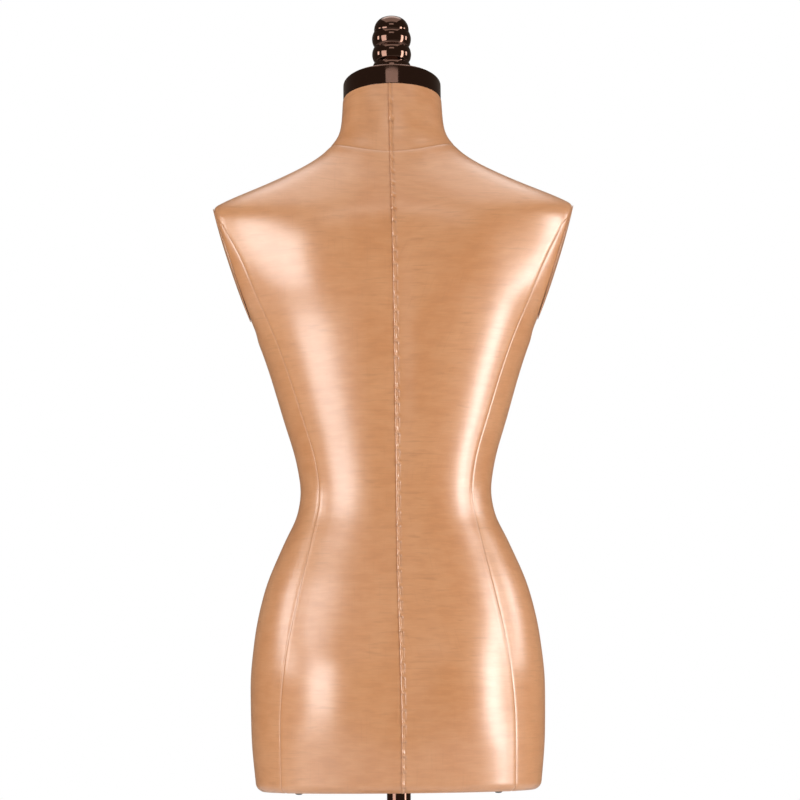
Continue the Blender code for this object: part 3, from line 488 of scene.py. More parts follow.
class Bench:
    """Modelling by operators: each piece starts as a primitive and is shaped in edit mode."""

    SHARP = math.radians(28)
    DOUBLE = 1e-5

    @staticmethod
    def clear() -> None:
        """Leaves edit mode and deselects everything."""
        if bpy.context.mode != "OBJECT":
            bpy.ops.object.mode_set(mode="OBJECT")
        bpy.ops.object.select_all(action="DESELECT")

    @classmethod
    def finish(cls, name: str) -> bpy.types.Object:
        """Names the active object, closes its doubles, faces it outwards and shades it.

        Args:
            name: The piece's name.

        Returns:
            The object, with its place in its mesh.
        """
        obj = bpy.context.active_object
        if bpy.context.mode != "EDIT_MESH":
            bpy.ops.object.mode_set(mode="EDIT")
        bpy.ops.mesh.select_all(action="SELECT")
        bpy.ops.mesh.remove_doubles(threshold=cls.DOUBLE)
        bpy.ops.mesh.normals_make_consistent(inside=False)
        bpy.ops.object.mode_set(mode="OBJECT")
        bpy.ops.object.transform_apply(location=True, rotation=True, scale=True)
        bpy.ops.object.shade_smooth_by_angle(angle=cls.SHARP)
        obj.name = name
        obj.data.name = name
        cls.clear()
        return obj

    @classmethod
    def pick(cls, obj: bpy.types.Object) -> None:
        """Selects one object alone and makes it active.

        Args:
            obj: The object.
        """
        cls.clear()
        obj.select_set(True)
        bpy.context.view_layer.objects.active = obj

    @classmethod
    def turn(cls, name: str, shape: Outline, place: Matrix | None = None,
             sides: int = 64) -> bpy.types.Object:
        """Turns an outline of (radius, height) points, drawn by extruding one point, about an axis.

        Args:
            name: The piece's name.
            shape: Its points. One that stays off the axis closes into a ring.
            place: The frame whose Z is the axis.
            sides: Facets round the axis.

        Returns:
            The turned piece.
        """
        place = place or Matrix.Identity(4)
        closed = shape[0][0] > 0 and shape[-1][0] > 0
        points = [place @ Vector((radius, 0.0, height)) for radius, height in shape + shape[:closed]]
        cls.clear()
        bpy.ops.mesh.primitive_plane_add(size=MM, location=points[0])
        bpy.ops.object.transform_apply(location=True, rotation=False, scale=False)
        bpy.ops.object.mode_set(mode="EDIT")
        bpy.ops.mesh.merge(type="CENTER")
        for here, there in zip(points, points[1:]):
            bpy.ops.mesh.extrude_region_move(TRANSFORM_OT_translate={"value": there - here})
        bpy.ops.mesh.select_all(action="SELECT")
        bpy.ops.mesh.spin(steps=sides, angle=2 * math.pi, center=place.to_translation(),
                          axis=place.to_3x3() @ Vector((0, 0, 1)))
        return cls.finish(name)

    @classmethod
    def combine(cls, obj: bpy.types.Object, other: bpy.types.Object, operation: str) -> bpy.types.Object:
        """Joins or cuts one piece with another, which is used up.

        Args:
            obj: The piece.
            other: The tool.
            operation: UNION or DIFFERENCE.

        Returns:
            The piece.
        """
        cls.pick(obj)
        bpy.ops.object.modifier_add(type="BOOLEAN")
        modifier = obj.modifiers[-1]
        modifier.operation = operation
        modifier.object = other
        bpy.ops.object.modifier_apply(modifier=modifier.name)
        bpy.data.objects.remove(other, do_unlink=True)
        bpy.ops.object.shade_smooth_by_angle(angle=cls.SHARP)
        cls.clear()
        return obj


def outline(*corners: tuple[float, ...], steps: int = 5) -> Outline:
    """Draws a profile with rounded corners.

    Args:
        corners: Each (radius, height) or (radius, height, fillet).
        steps: Segments in a fillet.

    Returns:
        The points.
    """
    made: Outline = []
    points = [np.array(corner[:2]) for corner in corners]
    for index, corner in enumerate(corners):
        here = points[index]
        if len(corner) < 3 or not 0 < index < len(corners) - 1:
            made.append((float(here[0]), float(here[1])))
            continue
        before, after = points[index - 1] - here, points[index + 1] - here
        lengths = np.linalg.norm(before), np.linalg.norm(after)
        reach = min(corner[2], 0.49 * min(lengths))
        start, end = here + before / lengths[0] * reach, here + after / lengths[1] * reach
        for t in np.linspace(0, 1, steps + 1):
            point = start * (1 - t) ** 2 + here * 2 * t * (1 - t) + end * t**2
            made.append((float(point[0]), float(point[1])))
    return made


def mesh_piece(name: str, points: Points, faces: Sequence[Sequence[int]]) -> bpy.types.Object:
    """Makes a smooth object from points and faces.

    Args:
        name: Its name.
        points: Its vertices, in metres.
        faces: Its faces, as vertex indices.

    Returns:
        The object.
    """
    mesh = bpy.data.meshes.new(name)
    mesh.from_pydata(np.asarray(points, float).tolist(), [], np.asarray(faces).tolist())
    mesh.validate()
    mesh.shade_smooth()
    mesh.set_sharp_from_angle(angle=math.radians(55))
    obj = bpy.data.objects.new(name, mesh)
    bpy.context.scene.collection.objects.link(obj)
    return obj


# The torso's surface


class HeightCurve:
    """A smooth curve over height: monotone cubics through points, then a blend along the height."""

    def __init__(self, heights: Sequence[float], values: Sequence[float], spread: int = 6) -> None:
        """Draws the curve.

        Args:
            heights: Heights of its points, in millimetres.
            values: Its values there, in millimetres.
            spread: Spread of the blend, in millimetres.
        """
        heights, values = np.asarray(heights, float), np.asarray(values, float)
        slopes = self._slopes(heights, values)
        reach = 4 * spread
        self.grid = np.arange(heights[0] - reach, heights[-1] + reach + 1.0)
        inside = np.clip(self.grid, heights[0], heights[-1])
        index = np.clip(np.searchsorted(heights, inside, side="right") - 1, 0, len(heights) - 2)
        step = heights[index + 1] - heights[index]
        t = (inside - heights[index]) / step
        dense = values[index] * (1 + 2 * t) * (1 - t) ** 2 + values[index + 1] * t * t * (3 - 2 * t)
        dense += step * (slopes[index] * t * (1 - t) ** 2 - slopes[index + 1] * t * t * (1 - t))
        dense += np.where(self.grid < heights[0], slopes[0], slopes[-1]) * (self.grid - inside)
        steps = np.arange(-reach, reach + 1.0)
        kernel = np.exp(-0.5 * (steps / spread) ** 2)
        self.values = np.convolve(dense, kernel / kernel.sum(), mode="same")
        self.values[:reach] = dense[:reach]
        self.values[-reach:] = dense[-reach:]

    @staticmethod
    def _slopes(heights: Points, values: Points) -> Points:
        """Slopes that keep the cubics monotone between the points.

        Args:
            heights: Heights of the points.
            values: Values of the points.

        Returns:
            A slope for each point.
        """
        steps = np.diff(heights)
        grades = np.diff(values) / steps
        slopes = np.concatenate(([grades[0]], np.zeros(len(steps) - 1), [grades[-1]]))
        for i in range(1, len(steps)):
            before, after = grades[i - 1], grades[i]
            if before * after > 0:
                first, second = 2 * steps[i] + steps[i - 1], steps[i] + 2 * steps[i - 1]
                slopes[i] = (first + second) / (first / before + second / after)
        return slopes

    def __call__(self, height: Points | float) -> Points:
        """The value at heights in metres, in metres."""
        return np.interp(np.asarray(height) / MM, self.grid, self.values) * MM


class Line(Enum):
    """The lines that part the cover, from the middle of the back to the middle of the front."""

    CENTRE_BACK = "middle of the back"
    BACK_SEAM = "princess seam of the back"
    SIDE = "side"
    FRONT_SEAM = "princess seam of the front"
    CENTRE_FRONT = "middle of the front"


@dataclass(frozen=True)
class Swell:
    """A soft rise on one side of the torso."""

    across: float
    up: float
    spread_across: float
    spread_up: float
    rise: float
    side: int


@dataclass
class TorsoForm:
    """The outer face of the cover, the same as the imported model's but fine."""

    # Height, half width, front depth, back depth, centre, fall of the front, fall of the back, in millimetres
    sections: tuple[tuple[float, ...], ...] = (
        (0, 151, 98, 110, 5, 0, 0),
        (60, 156.2, 103, 118, 4, 0, 0),
        (110, 157, 104, 118, 3, 0, 0),
        (160, 152.6, 102, 111, 2, 0, 0),
        (210, 142, 97, 101, 1, 0, 0),
        (265, 119.5, 90, 89, 0, 0, 0),
        (295, 105.6, 86, 84, 0, 0, 0),
        (318, 102.2, 84, 82, 0, 0, 0),
        (345, 105.8, 86, 83, 0, 0, 0),
        (395, 120, 94, 88, 0, 0, 0),
        (470, 143.2, 114, 96, 1, 0, 0),
        (500, 156, 116, 99, 3, 0, 0),
        (540, 186, 107, 102, 5, 0, 0),
        (580, 206.5, 91, 103, 7, 3, 1),
        (605, 211, 81, 101, 8, 8, 3),
        (619.5, 205, 74, 98, 9, 13, 5),
        (628, 189.5, 70, 95.5, 9, 18, 6),
        (648, 137.8, 62, 89.5, 11, 31, 9.5),
        (674, 83.3, 51, 80, 14, 43, 12),
        (687, 67.8, 46, 75.5, 14.5, 46, 12),
        (702, 58, 43.2, 68, 12, 37.7, 4.2),
        (719, 55.1, 45.2, 62, 8.5, 28.8, -4.1),
        (742, 53.9, 51.5, 51.5, 0, 12.1, -12.1),
    )
    swells: tuple[Swell, ...] = (
        Swell(0.080, 0.482, 0.052, 0.066, 0.030, -1),
        Swell(0.066, 0.105, 0.048, 0.055, 0.008, 1),
        Swell(0.082, 0.560, 0.042, 0.048, 0.005, 1),
        Swell(0.000, 0.440, 0.020, 0.140, -0.004, 1),
        Swell(0.000, 0.175, 0.060, 0.070, 0.005, -1),
    )
    back_seam: tuple[tuple[float, float], ...] = (
        (0, 122), (70, 122.5), (130, 118), (200, 104), (265, 89), (313, 80.5), (345, 84), (390, 97),
        (471, 123.5), (528, 148), (565, 163), (600, 182))
    front_seam: tuple[tuple[float, float], ...] = (
        (0, 104), (100, 102), (200, 86), (317, 66), (400, 76), (480, 86), (530, 104), (570, 140), (600, 176))
    # Drift of the hand-sewn seam towards +X, in millimetres
    centre_drift: tuple[tuple[float, float], ...] = (
        (0, -3.0), (70, -4.2), (130, -3.4), (230, -1.0), (400, -0.4), (560, 0.4), (660, 2.2), (742, 3.6))
    fullness: float = 0.045
    flatness: float = 1.2
    hem_radius: float = 0.009
    hem_start: float = 0.0006
    # The armhole's plane: how far out it is at a height, how it leans, and its floor
    arm_out: float = 0.1534
    arm_level: float = 0.499
    arm_lean: float = 0.323
    arm_floor: float = 0.495
    arm_release: float = 20.0
    arm_blend: float = 0.007
    seam_top: float = 0.600
    seam_end: float = 0.622
    neck_base: float = 0.687
    neck_top: float = 0.742

    def __post_init__(self) -> None:
        """Draws the curves."""
        heights, *columns = zip(*self.sections)
        self.curves = [HeightCurve(heights, column) for column in columns]
        self.seams = [HeightCurve(*zip(*points), spread=10) for points in (self.back_seam, self.front_seam)]
        self.drift = HeightCurve(*zip(*self.centre_drift), spread=20)

    def arm_plane(self, height: Points) -> Points:
        """How far out the armhole plane lies at a height. Below its floor it runs away outwards."""
        below = np.maximum(0.0, self.arm_floor - height)
        return self.arm_out + self.arm_lean * (height - self.arm_level) + self.arm_release * below**2

    def _swell(self, x: Points, height: Points, facing: Points) -> Points:
        """The rise of all swells, along Y.

        Args:
            x: Places across the form.
            height: Heights above the hem.
            facing: Cosine of the angle from the middle of the back.

        Returns:
            The rise at each point.
        """
        total = np.zeros_like(x)
        for swell in self.swells:
            reach = ((np.abs(x) - swell.across) / swell.spread_across) ** 2
            reach += ((height - swell.up) / swell.spread_up) ** 2
            bell = np.exp(-(reach**self.flatness)) * np.minimum(1.0, np.abs(facing) * 2.5)
            total += np.where(swell.side * facing > 0, swell.side * swell.rise * bell, 0.0)
        return total

    def surface(self, height: Points, angle: Points) -> Points:
        """Points of the outer face.

        Args:
            height: Heights above the hem.
            angle: Angles in degrees, 0 in the middle of the back and 90 at +X.

        Returns:
            The points, in the frame of the model.
        """
        half_width, front, back, centre, front_fall, back_fall = (curve(height) for curve in self.curves)
        rest = np.maximum(0.0, self.hem_radius - self.hem_start - height)
        inset = self.hem_radius - np.sqrt(self.hem_radius**2 - rest**2)
        turn = np.radians(angle)
        side, facing = np.sin(turn), np.cos(turn)
        depth = np.where(facing > 0, back - centre, front + centre)
        full = 1 + self.fullness * (2 * side * facing) ** 2
        z = height - 0.5 * (front_fall + back_fall) * facing**2 + 0.5 * (front_fall - back_fall) * facing
        x = (half_width - inset) * side * full
        y = centre + (depth - inset) * facing * full + self._swell(x, z, facing)
        plane = self.arm_plane(z)
        share = np.maximum(0.0, 1.0 - np.abs(np.abs(x) - plane) / self.arm_blend)
        x = np.sign(side) * (np.minimum(np.abs(x), plane) - 0.25 * self.arm_blend * share**2)
        return np.stack([x, y, z + HEM], axis=-1)

    def normals(self, height: Points, angle: Points) -> Points:
        """Outward unit normals at points of the face.

        Args:
            height: Heights above the hem.
            angle: Angles in degrees.

        Returns:
            The normals.
        """
        step, turn = 0.0008, 0.4
        low, high = np.maximum(0.0, height - step), np.minimum(self.neck_top, height + step)
        around = self.surface(height, angle + turn) - self.surface(height, angle - turn)
        up = self.surface(high, angle) - self.surface(low, angle)
        normal = np.cross(up, around)
        return normal / np.linalg.norm(normal, axis=-1, keepdims=True)

    def seam_angle(self, height: Points, which: int) -> Points:
        """Angle from the nearer middle at which a princess seam crosses a height.

        Args:
            height: Heights above the hem.
            which: 0 for the back's seam, 1 for the front's.

        Returns:
            The angles, in degrees.
        """
        held = np.minimum(height, self.seam_top)
        target = self.seams[which](held)
        half_width = self.curves[0](held)
        low, high = np.zeros_like(held), np.full_like(held, 85.0)
        for _ in range(30):
            middle = 0.5 * (low + high)
            side = np.sin(np.radians(middle))
            full = 1 + self.fullness * np.sin(np.radians(2 * middle)) ** 2
            below = half_width * side * full < target
            low, high = np.where(below, middle, low), np.where(below, high, middle)
        share = np.clip((height - self.seam_top) / (self.seam_end - self.seam_top), 0, 1)
        return low + (90.0 - low) * share**1.5

    def line_angle(self, line: Line, right: bool, height: Points) -> Points:
        """Angle at which one of the cover's lines crosses a height.

        Args:
            line: The line.
            right: Whether it is reached over the right side, where angles run on to 360.
            height: Heights above the hem.

        Returns:
            The angles, in degrees.
        """
        if line is Line.CENTRE_BACK:
            drift = np.degrees(self.drift(height) / self.curves[0](height))
            return 360.0 + drift if right else drift
        if line is Line.BACK_SEAM:
            angle = self.seam_angle(height, 0)
        elif line is Line.FRONT_SEAM:
            angle = 180.0 - self.seam_angle(height, 1)
        else:
            angle = np.full_like(height, 90.0 if line is Line.SIDE else 180.0)
        return 360.0 - angle if right else angle


# Cloth


class Cloth:
    """Thin closed sheets over a grid of rows and columns."""

    UV = "cloth"
    # Attribute of the painted shadow along the seams
    SEAM = "seam"

    @staticmethod
    def sheet(name: str, outer: Points, inner: Points, uv: Points, seam: Points) -> bpy.types.Object:
        """Closes a sheet between two grids of points.

        Args:
            name: The piece's name.
            outer: Grid of outer points, rows by columns by 3.
            inner: Grid of inner points.
            uv: Cloth coordinates in metres, rows by columns by 2.
            seam: How much of a seam's shadow falls on each point, rows by columns.

        Returns:
            The sheet.
        """
        rows, columns = outer.shape[:2]
        index = np.arange(rows * columns).reshape(rows, columns)
        low_left, low_right = index[:-1, :-1].ravel(), index[:-1, 1:].ravel()
        top_right, top_left = index[1:, 1:].ravel(), index[1:, :-1].ravel()
        front = np.stack([low_left, low_right, top_right, top_left], axis=1)
        back = front[:, ::-1] + rows * columns
        rim = np.concatenate([index[0, :], index[1:, -1], index[-1, -2::-1], index[-2:0:-1, 0]])
        after = np.roll(rim, -1)
        edge = np.stack([after, rim, rim + rows * columns, after + rows * columns], axis=1)
        points = np.concatenate([outer.reshape(-1, 3), inner.reshape(-1, 3)])
        obj = mesh_piece(name, points, np.concatenate([front, back, edge]))
        Cloth.mark(obj, np.tile(uv.reshape(-1, 2), (2, 1)), np.tile(seam.ravel(), 2))
        return obj

    @staticmethod
    def mark(obj: bpy.types.Object, uv: Points, seam: Points) -> None:
        """Writes cloth coordinates and seam shadow onto a mesh.

        Args:
            obj: The piece.
            uv: Cloth coordinates in metres, by vertex.
            seam: Seam shadow, by vertex.
        """
        mesh = obj.data
        corner = np.zeros(len(mesh.loops), np.int32)
        mesh.loops.foreach_get("vertex_index", corner)
        layer = mesh.uv_layers.new(name=Cloth.UV)
        layer.data.foreach_set("uv", uv[corner].astype(np.float32).ravel())
        attribute = mesh.attributes.new(Cloth.SEAM, "FLOAT", "POINT")
        attribute.data.foreach_set("value", seam.astype(np.float32))

    @staticmethod
    def area(grid: Points) -> float:
        """Area of a grid of points, in square metres."""
        a, b = grid[1:, 1:] - grid[:-1, :-1], grid[1:, :-1] - grid[:-1, 1:]
        return float(0.5 * np.linalg.norm(np.cross(a, b), axis=-1).sum())


class Join(Enum):
    """How a panel's edge is sewn."""

    MACHINE = "machine"
    HAND_UNDER = "hand, the flat edge"
    HAND_OVER = "hand, the folded edge"


@dataclass
class Needlework:
    """Relief and painted shadow of sewn edges: machine seams, and the whip stitches down the middle of the back.
    """

    groove: float = 0.00028
    groove_reach: float = 0.0009
    groove_shade: float = 0.22
    puff: float = 0.00012
    puff_place: float = 0.0042
    puff_reach: float = 0.0026
    seam_length: float = 0.742
    stitch_pitch: float = 0.0160
    stitch_scatter: float = 0.0009
    tuck_rise: float = 0.0011
    ridge_rise: float = 0.00055
    seed: int = 7

    def __post_init__(self) -> None:
        """Draws the places and sizes of the stitches."""
        draw = np.random.default_rng(self.seed)
        count = int(self.seam_length / self.stitch_pitch)
        middles = (np.arange(count) + 0.55) * self.stitch_pitch
        self.heights = middles + draw.normal(0, self.stitch_scatter, count)
        self.sizes = draw.uniform(0.65, 1.15, count)
        self.skews = draw.uniform(0.1, 0.7, count)

    def machine(self, distance: Points) -> tuple[Points, Points]:
        """Relief and shadow of a machine seam.

        Args:
            distance: Distances from it.

        Returns:
            The relief and the shadow.
        """
        near = np.exp(-((distance / self.groove_reach) ** 2))
        puff = self.puff * np.exp(-(((distance - self.puff_place) / self.puff_reach) ** 2))
        return puff - self.groove * near, self.groove_shade * near

    def hand(self, distance: Points, height: Points, over: bool) -> tuple[Points, Points]:
        """Relief and shadow of the hand-sewn seam.

        Args:
            distance: Distances from the seam.
            height: Heights above the hem.
            over: Whether this is the folded edge that lies on top.

        Returns:
            The relief and the shadow.
        """
        if not over:
            near = np.exp(-((distance / 0.0008) ** 2))
            relief, shadow = -0.0003 * near, 0.18 * near
            for at, size in zip(self.heights, self.sizes):
                pull = size * np.exp(-((distance / 0.0022) ** 2) - (((height - at + 0.004) / 0.0012) ** 2))
                relief, shadow = relief - 0.0003 * pull, shadow + 0.25 * pull
            return relief, np.clip(shadow, 0, 1)
        relief = self.ridge_rise * np.exp(-(((distance - 0.0010) / 0.0012) ** 2))
        relief -= 0.0003 * np.exp(-(((distance - 0.0034) / 0.0010) ** 2))
        shadow = 0.18 * np.exp(-(((distance - 0.0034) / 0.0010) ** 2))
        for at, size, skew in zip(self.heights, self.sizes, self.skews):
            up = height - at + skew * (distance - 0.002)
            reach = 0.0024 * np.clip(1.35 - distance / 0.0062, 0.15, 1.2)
            tuck = size * np.exp(-(np.abs(up / reach) ** 2.6) - (np.abs((distance - 0.0026) / 0.0024) ** 2.6))
            relief += self.tuck_rise * tuck
            shadow = shadow * (1 - tuck)
            # Painted shadow under each tuck, where the stitch pulls the cloth in
            below = np.exp(-(((up + 0.0036) / 0.0011) ** 2) - (((distance - 0.0020) / 0.0024) ** 2))
            relief -= 0.00055 * size * below
            shadow += 0.34 * size * below
        return relief, np.clip(shadow, 0, 1)

    def edge(self, join: Join, distance: Points, height: Points) -> tuple[Points, Points]:
        """Relief and shadow of one edge.

        Args:
            join: How it is sewn.
            distance: Distances from it.
            height: Heights above the hem.

        Returns:
            The relief and the shadow.
        """
        if join is Join.MACHINE:
            return self.machine(distance)
        return self.hand(distance, height, join is Join.HAND_OVER)


@dataclass(frozen=True)
class Edge:
    """A panel's edge: the line that it follows, on which side, and how it is sewn."""

    line: Line
    join: Join
    right: bool = False

    def mirrored(self) -> "Edge":
        """The same edge on the right side, where the middle of the back is folded over."""
        join = Join.HAND_OVER if self.join is Join.HAND_UNDER else self.join
        return Edge(self.line, join, True)


@dataclass
class Panel:
    """One cut panel of the cover, between two seams."""

    name: str
    start: Edge
    end: Edge
    low: float
    high: float
    columns: int
    row_step: float
    top_seam: bool
    rests_on: str = "moulded_body"
    thickness: float = 0.0010
    fine: float = 0.0070
    fine_step: float = 0.0004
    probes: int = 60
    allowance: float = 0.02
    used_share: float = 0.8
    # Places of columns and rows beside a machine seam, the hem, a seam at the foot and the top, in millimetres
    seam_columns: tuple[float, ...] = (0, 0.4, 0.8, 1.2, 1.8, 2.6, 3.8, 5.4)
    hem_rows: tuple[float, ...] = (0, 0.3, 0.7, 1.2, 1.8, 2.6, 3.5, 4.6, 5.8, 7.2)
    foot_rows: tuple[float, ...] = (0, 0.4, 0.8, 1.3, 2.0, 3.0)
    top_rows: tuple[float, ...] = (3.0, 2.0, 1.3, 0.8, 0.4, 0)

    def _shares(self, width: float) -> Points:
        """Places of the columns, closer at the seams.

        Args:
            width: The panel's width.

        Returns:
            Shares of the width, from 0 to 1.
        """
        fine = np.arange(0, self.fine, self.fine_step) / width
        machine = np.array(self.seam_columns) * MM / width
        left, right = (machine if edge.join is Join.MACHINE else fine for edge in (self.start, self.end))
        middle = np.linspace(left[-1], 1 - right[-1], self.columns + 2)[1:-1]
        return np.concatenate([left, middle, 1 - right[::-1]])

    def _heights(self) -> Points:
        """Places of the rows, closer round the hem and at a seam along the top.

        Returns:
            Heights above the hem.
        """
        low = self.low + np.array(self.foot_rows if self.low > 0 else self.hem_rows) * MM
        high = self.high - np.array(self.top_rows) * MM
        count = int((high[0] - low[-1]) / self.row_step)
        return np.concatenate([low, np.linspace(low[-1], high[0], count + 1)[1:-1], high])

    def build(self, form: TorsoForm, needle: Needlework) -> bpy.types.Object:
        """Cuts and sews the panel.

        Args:
            form: The torso's surface.
            needle: The relief of its seams.

        Returns:
            The panel.
        """
        heights = self._heights()
        starts, ends = (form.line_angle(edge.line, edge.right, heights) for edge in (self.start, self.end))
        middle = len(heights) // 3
        probe = form.surface(np.full(self.probes, heights[middle]),
                             np.linspace(starts[middle], ends[middle], self.probes))
        width = float(np.linalg.norm(np.diff(probe, axis=0), axis=1).sum())
        shares = self._shares(width)
        height = np.repeat(heights[:, None], len(shares), axis=1)
        angle = starts[:, None] + (ends - starts)[:, None] * shares[None, :]
        face = form.surface(height, angle)
        steps = np.linalg.norm(np.diff(face, axis=1), axis=2)
        along = np.concatenate([np.zeros((len(heights), 1)), np.cumsum(steps, axis=1)], axis=1)
        # Each sewn edge gives relief and a painted shadow in its gap
        left, shadow_left = needle.edge(self.start.join, along, height)
        right, shadow_right = needle.edge(self.end.join, along[:, -1:] - along, height)
        relief, seam = left + right, np.maximum(shadow_left, shadow_right)
        if self.top_seam:
            top, shadow_top = needle.machine((self.high - height) * 1.25)
            relief, seam = relief + top, np.maximum(seam, shadow_top)
        if self.low > 0:
            foot, shadow_foot = needle.machine(height - self.low)
            relief, seam = relief + foot, np.maximum(seam, shadow_foot)
        normal = form.normals(height, angle)
        outer = face + normal * relief[..., None]
        inner = face - normal * self.thickness
        uv = np.stack([along + starts[:1, None] * 0.01, height], axis=-1)
        obj = Cloth.sheet(self.name, outer, inner, uv, seam)
        area = Cloth.area(face)
        place_piece(obj, Body.TORSO, LINEN, self.name)
        return obj


@dataclass
class Covers:
    """The sewn cover: eight panels, the neck and two armhole plates."""

    form: TorsoForm
    needle: Needlework = field(default_factory=Needlework)
    side_top: float = 0.612
    plate_height: float = 0.565
    plate_y: float = 0.006
    plate_half_height: float = 0.065
    plate_half_depth: float = 0.048
    plate_rim: float = 0.0009
    plate_dome: float = 0.0024
    plate_sides: int = 120

    def panels(self) -> list[Panel]:
        """The cut panels.

        Returns:
            The panels, first the left side's.
        """
        form, machine = self.form, Join.MACHINE
        centre_back, back = Edge(Line.CENTRE_BACK, Join.HAND_UNDER), Edge(Line.BACK_SEAM, machine)
        side, front = Edge(Line.SIDE, machine), Edge(Line.FRONT_SEAM, machine)
        centre_front = Edge(Line.CENTRE_FRONT, machine)
        cuts = (
            ("back", centre_back, back, form.neck_base, 52, 0.00125),
            ("side_back", back, side, self.side_top, 26, 0.0022),
            ("side_front", side, front, self.side_top, 30, 0.0022),
            ("front", front, centre_front, form.neck_base, 56, 0.0022),
        )
        made = []
        for word in ("left", "right"):
            for part, start, end, top, columns, step in cuts:
                if word == "right":
                    start, end = end.mirrored(), start.mirrored()
                made.append(Panel(f"cover_{part}_{word}", start, end, 0.0, top, columns, step,
                                  top == form.neck_base))
        made.append(Panel("neck_cover", centre_back, centre_back.mirrored(), form.neck_base, form.neck_top,
                          150, 0.00125, False))
        return made

    def armhole_plate(self, side: int) -> bpy.types.Object:
        """A padded board under linen that closes an armhole.

        Args:
            side: 1 for the left side, -1 for the right.

        Returns:
            The plate.
        """
        lean = math.atan(self.form.arm_lean)
        up = np.array([side * math.sin(lean), 0, math.cos(lean)])
        out = np.array([side * math.cos(lean), 0, -math.sin(lean)])
        across = np.array([0.0, 1.0, 0.0])
        reach = float(self.form.arm_plane(np.array(self.plate_height)))
        centre = np.array([side * reach, self.plate_y, self.plate_height + HEM])
        shares = np.concatenate([np.linspace(0, 0.9, 19), [0.93, 0.955, 0.972, 0.984]])
        levels = self.plate_rim + self.plate_dome * (1 - shares**2.4)
        turn = np.radians(np.linspace(0, 90, 6))
        edge_share = 0.984 + 0.016 * np.sin(turn[1:])
        edge_level = levels[-1] - (levels[-1] - 0.0002) * (1 - np.cos(turn[1:]))
        shares = np.concatenate([shares, edge_share, [0.97, 0.0]])
        levels = np.concatenate([levels, edge_level, [0.0001, 0.0001]])
        turns = np.linspace(0, 2 * math.pi, self.plate_sides, endpoint=False)
        high = self.plate_half_height * shares[:, None] * np.cos(turns)
        wide = self.plate_half_depth * shares[:, None] * np.sin(turns)
        ring = (centre + high[..., None] * up + wide[..., None] * across + levels[:, None, None] * out)
        rows, columns = high.shape
        index = np.arange(rows * columns).reshape(rows, columns)
        after = np.roll(index, -1, axis=1)
        faces = np.stack([index[:-1].ravel(), after[:-1].ravel(), after[1:].ravel(), index[1:].ravel()], axis=1)
        name = "armhole_plate_left" if side > 0 else "armhole_plate_right"
        obj = mesh_piece(name, ring.reshape(-1, 3), faces)
        Cloth.mark(obj, np.stack([wide.ravel() + 0.3, high.ravel()], axis=1), np.zeros(rows * columns))
        Bench.pick(obj)
        Bench.finish(name)
        place_piece(obj, Body.TORSO, LINEN, name)
        return obj

    def build(self) -> None:
        """Sews the whole cover."""
        for panel in self.panels():
            panel.build(self.form, self.needle)
        for side in (1, -1):
            self.armhole_plate(side)


